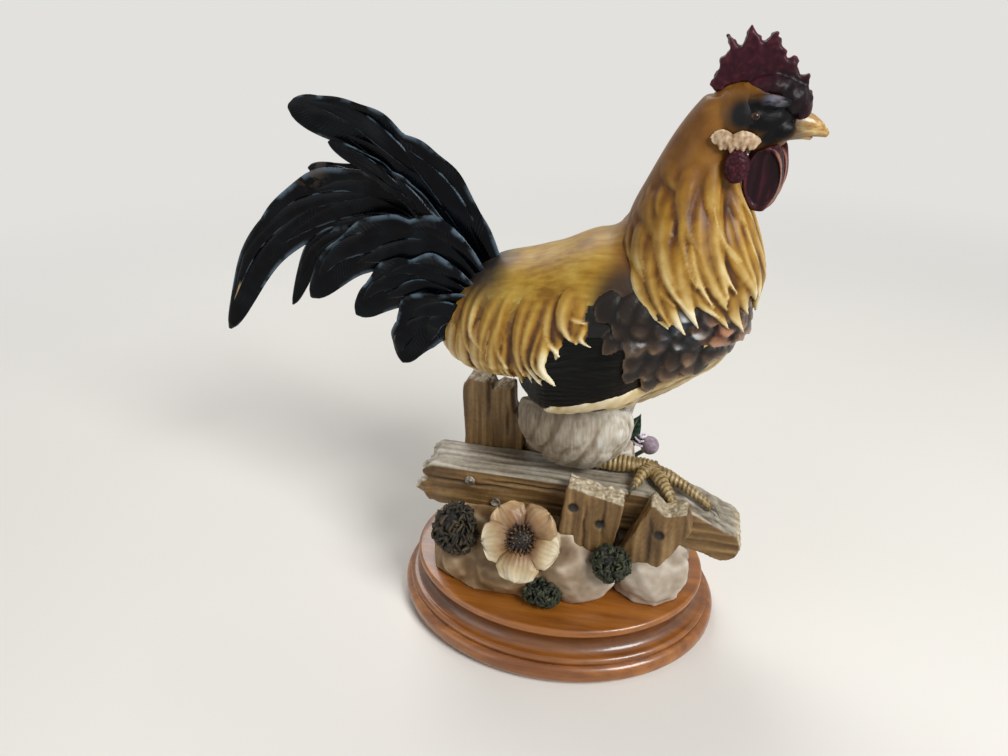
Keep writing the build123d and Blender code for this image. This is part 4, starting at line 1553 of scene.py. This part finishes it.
def make_flower_centre():
    """A domed seed head ringed by short stamens."""
    grow = random.Random(11)
    shape = new_shape()
    dome = node_copy("flower_centre")
    join(shape, dome)
    side = Vector((1, 0, 0))

    def seed_radius(share):
        return 0.62 * (1.15 - 0.5 * share)

    for ring in range(6):
        count = 4 + ring * 5
        tilt = math.radians(12 + ring * 15)
        for step in range(count):
            turn = 2 * math.pi * (step + 0.5 * (ring % 2)) / count
            flat = side * math.cos(turn) + FLOWER_RISE * math.sin(turn)
            out = (FLOWER_FACE * math.cos(tilt) + flat * math.sin(tilt)).normalized()
            base = FLOWER_MIDDLE + FLOWER_FACE * (4.4 * math.cos(tilt)) + flat * (5.4 * math.sin(tilt))
            tip = base + (out + flat * 0.3) * grow.uniform(0.9, 1.6)
            route = smooth_route([base - out * 0.6, (base + tip) / 2, tip], STRAND_STEPS)
            normal = out.cross(flat)
            normal = normal.normalized() if normal.length > 0.01 else side
            spine = spine_of([(spot, normal) for spot in route])
            lay(shape, STRAND_TUBE, spine, seed_radius, seed_radius, None, grow.random())
    for step in range(46):
        turn = 2 * math.pi * step / 46 + grow.uniform(-0.05, 0.05)
        flat = side * math.cos(turn) + FLOWER_RISE * math.sin(turn)
        base = FLOWER_MIDDLE + flat * 4.6 + FLOWER_FACE * 1.2
        reach = grow.uniform(1.4, 2.8)
        knee = base + flat * reach * 0.6 + FLOWER_FACE * 1.6
        route = smooth_route([base, knee, base + flat * reach + FLOWER_FACE * 1.9], STRAND_STEPS)
        normal = flat.cross(FLOWER_FACE)
        spine = spine_of([(spot, normal) for spot in route])
        lay(shape, STRAND_TUBE, spine, steady(0.32), steady(0.32), None, grow.random())
    return shape


def seed_finish():
    finish = Finish("seed_paint")
    colour = finish.ramp(
        finish.mark("along") * 0.5 + finish.mark("tone") * 0.5, (0.1, 16, 9, 4), (0.55, 44, 28, 14),
        (0.95, 116, 84, 46),
    )
    return finish.wear(colour, 0.6)


def make_leaf():
    """The leaf behind the fence, with a midrib and a folded blade."""
    low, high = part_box("rear_leaf")
    middle = (low + high) / 2 / MM
    bottom, top = low.z / MM, high.z / MM
    points = [
        (low.x / MM + 1.5, middle.y, bottom),
        (middle.x, middle.y, (bottom + top) / 2),
        (high.x / MM - 1.5, middle.y, top),
    ]
    route = smooth_route(points, PETAL_STEPS)
    shape = new_shape()
    spine = spine_of([(spot, Vector((0, -1, 0))) for spot in route])
    fold = lambda share, across, rise: 1.1 * abs(across) - 0.6
    lay(shape, PETAL_TUBE, spine, leaf_width(5.4, 0.25, 0.4, 1.7), steady(0.7), fold, 0.4)
    return shape


def leaf_finish():
    finish = Finish("leaf_paint", Coat_Weight=0.15)
    across = finish.math("ABSOLUTE", finish.mark("across"), 0.0)
    veins = finish.math("SINE", finish.mark("run") * 2.2 - across * 7.0, 0.0)
    colour = finish.ramp(
        finish.cloud(4) + veins * 0.08, (0.3, 16, 34, 24), (0.55, 34, 64, 48), (0.8, 78, 106, 90)
    )
    colour = finish.mix(1 - across.fade(0.04, 0.12), colour, tint(120, 140, 112))
    return finish.wear(colour, 0.45, veins, 0.3, 0.3)


def make_blossom():
    """A small round blossom of layered petals on its stem."""
    shape = new_shape()
    join(shape, node_copy("rear_blossom"))
    low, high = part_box("rear_blossom")
    middle = Vector(((low.x + high.x) / 2 / MM, (low.y + high.y) / 2 / MM, high.z / MM - 4.5))
    for tier in range(3):
        count = 5 + tier * 2
        for step in range(count):
            turn = 2 * math.pi * (step + 0.4 * tier) / count
            lean = 0.35 + 0.55 * tier
            out = Vector((math.cos(turn) * math.sin(lean), math.sin(turn) * math.sin(lean), math.cos(lean)))
            route = [middle + out * reach for reach in (2.0, 2.9, 3.7, 4.4, 5.0)]
            normal = out.cross(UP).cross(out).normalized()
            spine = spine_of([(spot, normal) for spot in smooth_route(route, SHORT_STEPS)])
            lay(shape, LOCK_TUBE, spine, scale_width(1.9), steady(0.45), None, step / count)
    for vert in shape.verts:
        vert.co.z -= 5 * ease((vert.co.z - 66) / 8)
    return shape


def blossom_finish():
    finish = Finish("blossom_paint")
    colour = finish.ramp(
        finish.mark("along") * 0.6 + finish.cloud(1.6) * 0.5, (0.2, 128, 110, 124), (0.55, 192, 180, 190),
        (0.9, 236, 230, 236),
    )
    colour = finish.mix(1 - finish.axis("Z").fade(72, 76), colour, tint(70, 84, 60))
    return finish.wear(colour, 0.5)


# Plinth and hidden fixings


def plinth_finish():
    finish = Finish("stained_wood", Coat_Weight=0.5, Coat_Roughness=0.12)
    rings = finish.cloud(7, (9, 1, 1), 4, 0.6)
    pores = finish.cloud(0.9, (16, 1, 1), 2)
    colour = finish.ramp(
        rings, (0.28, 104, 54, 10), (0.46, 138, 80, 22), (0.62, 160, 98, 34), (0.8, 180, 120, 52)
    )
    colour = finish.mix(pores.fade(0.58, 0.72) * 0.35, colour, tint(80, 40, 10))
    height = finish.axis("Z")
    # Painted shade: the hollow cove of the moulding is painted darker brown.
    cove_shade = height.fade(12.2, 14.5) * (1 - height.fade(19.0, 21.5))
    colour = finish.mix(cove_shade * 0.6, colour, tint(52, 22, 4))
    return finish.wear(colour, 0.34 + rings * 0.1, rings + pores * 0.4, 0.12, 0.3)


def make_plinth():
    """The turned oval plinth, its rounded edges kept smooth."""
    shape = node_copy("plinth")
    bmesh.ops.recalc_face_normals(shape, faces=shape.faces)
    return shape


def felt_finish():
    finish = Finish("felt", Sheen_Weight=0.5)
    colour = finish.ramp(finish.cloud(1.2, detail=5), (0.3, 24, 52, 36), (0.7, 46, 84, 60))
    return finish.wear(colour, 0.95, finish.cloud(0.6), 0.5, 0.4)


def steel_finish():
    finish = Finish("steel", Metallic=1.0)
    brushed = finish.cloud(1.2, (1, 1, 8))
    colour = finish.ramp(brushed, (0.3, 120, 120, 124), (0.7, 176, 176, 180))
    return finish.wear(colour, 0.3 + brushed * 0.2, brushed, 0.1, 0.2)


# Assembly


def dress_rooster():
    piece("saddle_and_breast", make_body(), body_finish(), "saddle_paint", "body")
    piece("hackle", make_hackle(), hackle_finish(), "hackle_paint", "neck_hackle")
    wings = wing_finish()
    downs = thigh_finish()
    for name, side in SIDES:
        piece("wing_barbs_" + name, make_wing("wing_" + name, side), wings, "wing_paint", "wing_" + name)
        piece("thigh_down_" + name, make_thigh("thigh_" + name, side), downs, "down_paint", "thigh_" + name)
    feet = foot_finish()
    right_toes = ((-9, -14, 2), (10, -19, 7.5), (25, -9, 11))
    left_toes = ((12, 8, 2), (15, 17, 2), (10, 25, 2))
    piece("scaled_foot_right", make_foot(10, -1, 34, right_toes), feet, "foot_paint", "foot_right")
    piece("scaled_foot_left", make_foot(-9, 17, 18, left_toes), feet, "foot_paint", "foot_left")
    tail = tail_finish()
    feathers = (
        ("lower_covert", -4, 24, 0.3, 1.4, 0.6, (-62, 4), (-74, -7), (-80, -21)),
        ("side_covert", -3, 24, 1.7, 1.6, 0.7, (-64, 17), (-83, 14), (-102, -1)),
        ("near_sickle", -2, 25, 2.2, 2.0, 0.72, (-60, 30), (-80, 33), (-104, 25), (-125, 4)),
        ("near_blade", -1, 11, 3.6, 1.0, 0.8, (-69, 45), (-88, 61), (-110, 73)),
        ("top_sickle", 0, 25, 4.1, 2.0, 0.82, (-55, 43), (-77, 65), (-101, 79), (-128, 86)),
        ("great_sickle", 1, 27, 5.8, 2.2, 0.6, (-74, 43), (-111, 47), (-148, 25), (-177, -21)),
        ("inner_sickle", 2, 15, 6.4, 1.2, 0.6, (-72, 33), (-98, 34), (-125, 23), (-142, -6)),
        ("far_blade", 3, 13, 7.9, 1.0, 0.8, (-77, 44), (-104, 55), (-127, 59)),
    )
    for name, layer, width, seed, roll, tip, *places in feathers:
        plume = make_tail_feather(layer, width, seed, roll, tip, *places)
        piece("plume_" + name, plume, tail, "tail_paint", "tail_" + name)


def dress_head():
    piece("painted_head", make_head(), head_finish(), "head_paint", "head")
    piece("fleshy_comb", make_comb(), comb_finish("comb_paint", (190, 130, 132)), "comb_paint", "comb")
    wattles = wattle_finish()
    lobes = comb_finish("lobe_paint", (150, 108, 124))
    tufts = ear_tuft_finish()
    horn = beak_finish()
    eyes = eye_finish()
    for name, side in SIDES:
        pairs = (
            ("dished_wattle_", make_wattle("wattle_" + name, side), wattles, "comb_paint", "wattle_"),
            ("pebbled_lobe_", make_lobe("ear_lobe_" + name), lobes, "comb_paint", "ear_lobe_"),
            ("cracked_tuft_", make_ear_tuft("ear_tuft_" + name), tufts, "cream_paint", "ear_tuft_"),
            ("bright_eye_", make_eye("eye_" + name), eyes, "eye_paint", "eye_"),
        )
        for title, shape, finish, slot, node in pairs:
            piece(title + name, shape, finish, slot, node + name)
    piece("horn_beak_upper", make_beak("beak_upper", 1.12, 1.0), horn, "horn_paint", "beak_upper")
    piece("horn_beak_lower", make_beak("beak_lower", 0.75, 0.85), horn, "horn_paint", "beak_lower")


def dress_fence():
    rail = timber_finish("rail_paint", (62, 40, 14), (104, 76, 38), (148, 118, 72), (192, 186, 172))
    post = timber_finish("post_paint", (62, 42, 16), (108, 80, 42), (152, 122, 78), (210, 202, 186))
    front_knots = ((10.5, 73, 3.0), (22.5, 66, 2.8))
    timbers = (
        ("rail", "fence_rail", LENGTHWISE, rail, ((-40, 70, 22), (10, 64, 30), (-10, 73, 26)), ()),
        ("post_rear", "fence_post_rear", UPRIGHT, post, ((-36, 104, 14), (-27, 92, 10)), ()),
        ("post_front", "fence_post_front", UPRIGHT, post, ((16, 60, 20), (24, 70, 12)), front_knots),
        ("stake", "fence_stake_right", UPRIGHT, post, ((44, 62, 14),), ((48, 65, 3.0),)),
    )
    for name, node, along, finish, cracks, knots in timbers:
        piece("weathered_" + name, make_timber(node, along, cracks, knots), finish, "fence_paint", node)
    piece("dished_nails", make_nails(), nail_finish(), "nail_paint", "rail_nails")


def dress_base():
    stone = rock_finish()
    for node in ("rock_main", "rock_right", "rock_rear"):
        piece("hewn_" + node, make_rock(node), stone, "rock_paint", node)
    shag = moss_finish()
    tufts = (("moss_left", 300, 6.5, 3), ("moss_front", 220, 4, 4), ("moss_right", 240, 4.2, 5))
    for node, strands, length, seed in tufts:
        piece("shaggy_" + node, make_moss(node, strands, length, seed), shag, "moss_paint", node)
    cream = petal_finish()
    for index in range(5):
        node = "flower_petal_%d" % (index + 1)
        piece("cupped_petal_%d" % (index + 1), make_petal(index), cream, "petal_paint", node)
    piece("seedy_centre", make_flower_centre(), seed_finish(), "seed_paint", "flower_centre")
    piece("folded_leaf", make_leaf(), leaf_finish(), "leaf_paint", "rear_leaf")
    piece("round_blossom", make_blossom(), blossom_finish(), "blossom_paint", "rear_blossom")
    piece("turned_plinth", make_plinth(), plinth_finish(), "stained_wood", "plinth")
    felt = felt_finish()
    steel = steel_finish()
    for node, finish in (
        ("felt_pad", felt), ("plinth_screws", steel), ("leg_rods", steel), ("neck_dowel", steel)
    ):
        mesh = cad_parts[node].data
        mesh.materials.clear()
        mesh.materials.append(finish.material)


# The backdrop is pale for these rays, and the room is dim for the rest.
BACKDROP_RAYS = ("Is Camera Ray", "Is Glossy Ray", "Is Transmission Ray")
BACKDROP_LEVEL = 0.885
ROOM_LEVEL = 0.18
FLOOR_RADIUS = 60
LAMPS_AIM = (0, 0, 0.13)
# The fitted camera: focal length and picture width in pixels, then its angles and its place
FOCAL_PIXELS = 757
PICTURE_PIXELS = 1008
SENSOR_WIDTH = 36
CAMERA_YAW = math.radians(14)
CAMERA_PITCH = math.radians(27.72)
CAMERA_SPOT = Vector((45.4, -291.5, 275.5)) * MM


def make_floor():
    """The pale table top, which fades to an even pale ground away from the object."""
    shape = bmesh.new()
    bmesh.ops.create_circle(shape, cap_ends=True, segments=64, radius=FLOOR_RADIUS)
    mesh = mesh_of(shape, "floor")
    finish = Finish("pale_floor", Roughness=0.9)
    finish.wear(finish.ramp(finish.cloud(400), (0.3, 226, 223, 216), (0.7, 232, 229, 223)))
    away = finish.node("ShaderNodeVectorMath", dict(operation="LENGTH"), finish.place(), out="Value")
    seen = sum(finish.node("ShaderNodeLightPath", {}, out=ray) for ray in BACKDROP_RAYS)
    ground = finish.node("ShaderNodeEmission", {}, Color=tint(226, 225, 222))
    lit = Value(finish, finish.shader.outputs["BSDF"])
    both = finish.node("ShaderNodeMixShader", {}, away.fade(0.3, 1.0) * seen, lit, ground)
    finish.feed(finish.tree.nodes["Material Output"].inputs["Surface"], both)
    mesh.materials.append(finish.material)
    floor = put("floor", mesh)


def aim(thing, spot, target):
    """Stands a lamp or the camera at a spot, looking at a target."""
    thing.location = spot
    thing.rotation_euler = (Vector(spot) - Vector(target)).to_track_quat("Z", "Y").to_euler()


def light_and_camera():
    world = bpy.data.worlds.new("studio")
    world.use_nodes = True
    tree = world.node_tree
    tree.nodes["Background"].inputs["Color"].default_value = tint(238, 238, 236)
    rays = tree.nodes.new("ShaderNodeLightPath")
    seen = rays.outputs[BACKDROP_RAYS[0]]
    for ray in BACKDROP_RAYS[1:]:
        either = tree.nodes.new("ShaderNodeMath")
        either.operation = "MAXIMUM"
        tree.links.new(seen, either.inputs[0])
        tree.links.new(rays.outputs[ray], either.inputs[1])
        seen = either.outputs["Value"]
    level = tree.nodes.new("ShaderNodeMapRange")
    level.inputs["To Min"].default_value = ROOM_LEVEL
    level.inputs["To Max"].default_value = BACKDROP_LEVEL
    tree.links.new(seen, level.inputs["Value"])
    tree.links.new(level.outputs["Result"], tree.nodes["Background"].inputs["Strength"])
    bpy.context.scene.world = world
    for name, spot, size, power in (
        ("key", (0.8, -0.6, 1.0), 0.5, 17),
        ("window", (-0.5, 0.8, 1.2), 0.8, 10),
        ("fill", (-0.9, -0.9, 0.5), 0.9, 3),
    ):
        lamp = bpy.data.lights.new(name, "AREA")
        lamp.size = size
        lamp.energy = power
        aim(put(name, lamp), spot, LAMPS_AIM)
    camera = bpy.data.cameras.new("camera")
    camera.sensor_width = SENSOR_WIDTH
    camera.lens = FOCAL_PIXELS / PICTURE_PIXELS * SENSOR_WIDTH
    stand = put("camera", camera)
    flat = math.cos(CAMERA_PITCH)
    back = Vector((math.sin(CAMERA_YAW) * flat, -math.cos(CAMERA_YAW) * flat, math.sin(CAMERA_PITCH)))
    aim(stand, CAMERA_SPOT, CAMERA_SPOT - back)
    bpy.context.scene.camera = stand
    bpy.context.scene.view_settings.view_transform = "Standard"


dress_rooster()
dress_head()
dress_fence()
dress_base()
make_floor()
light_and_camera()
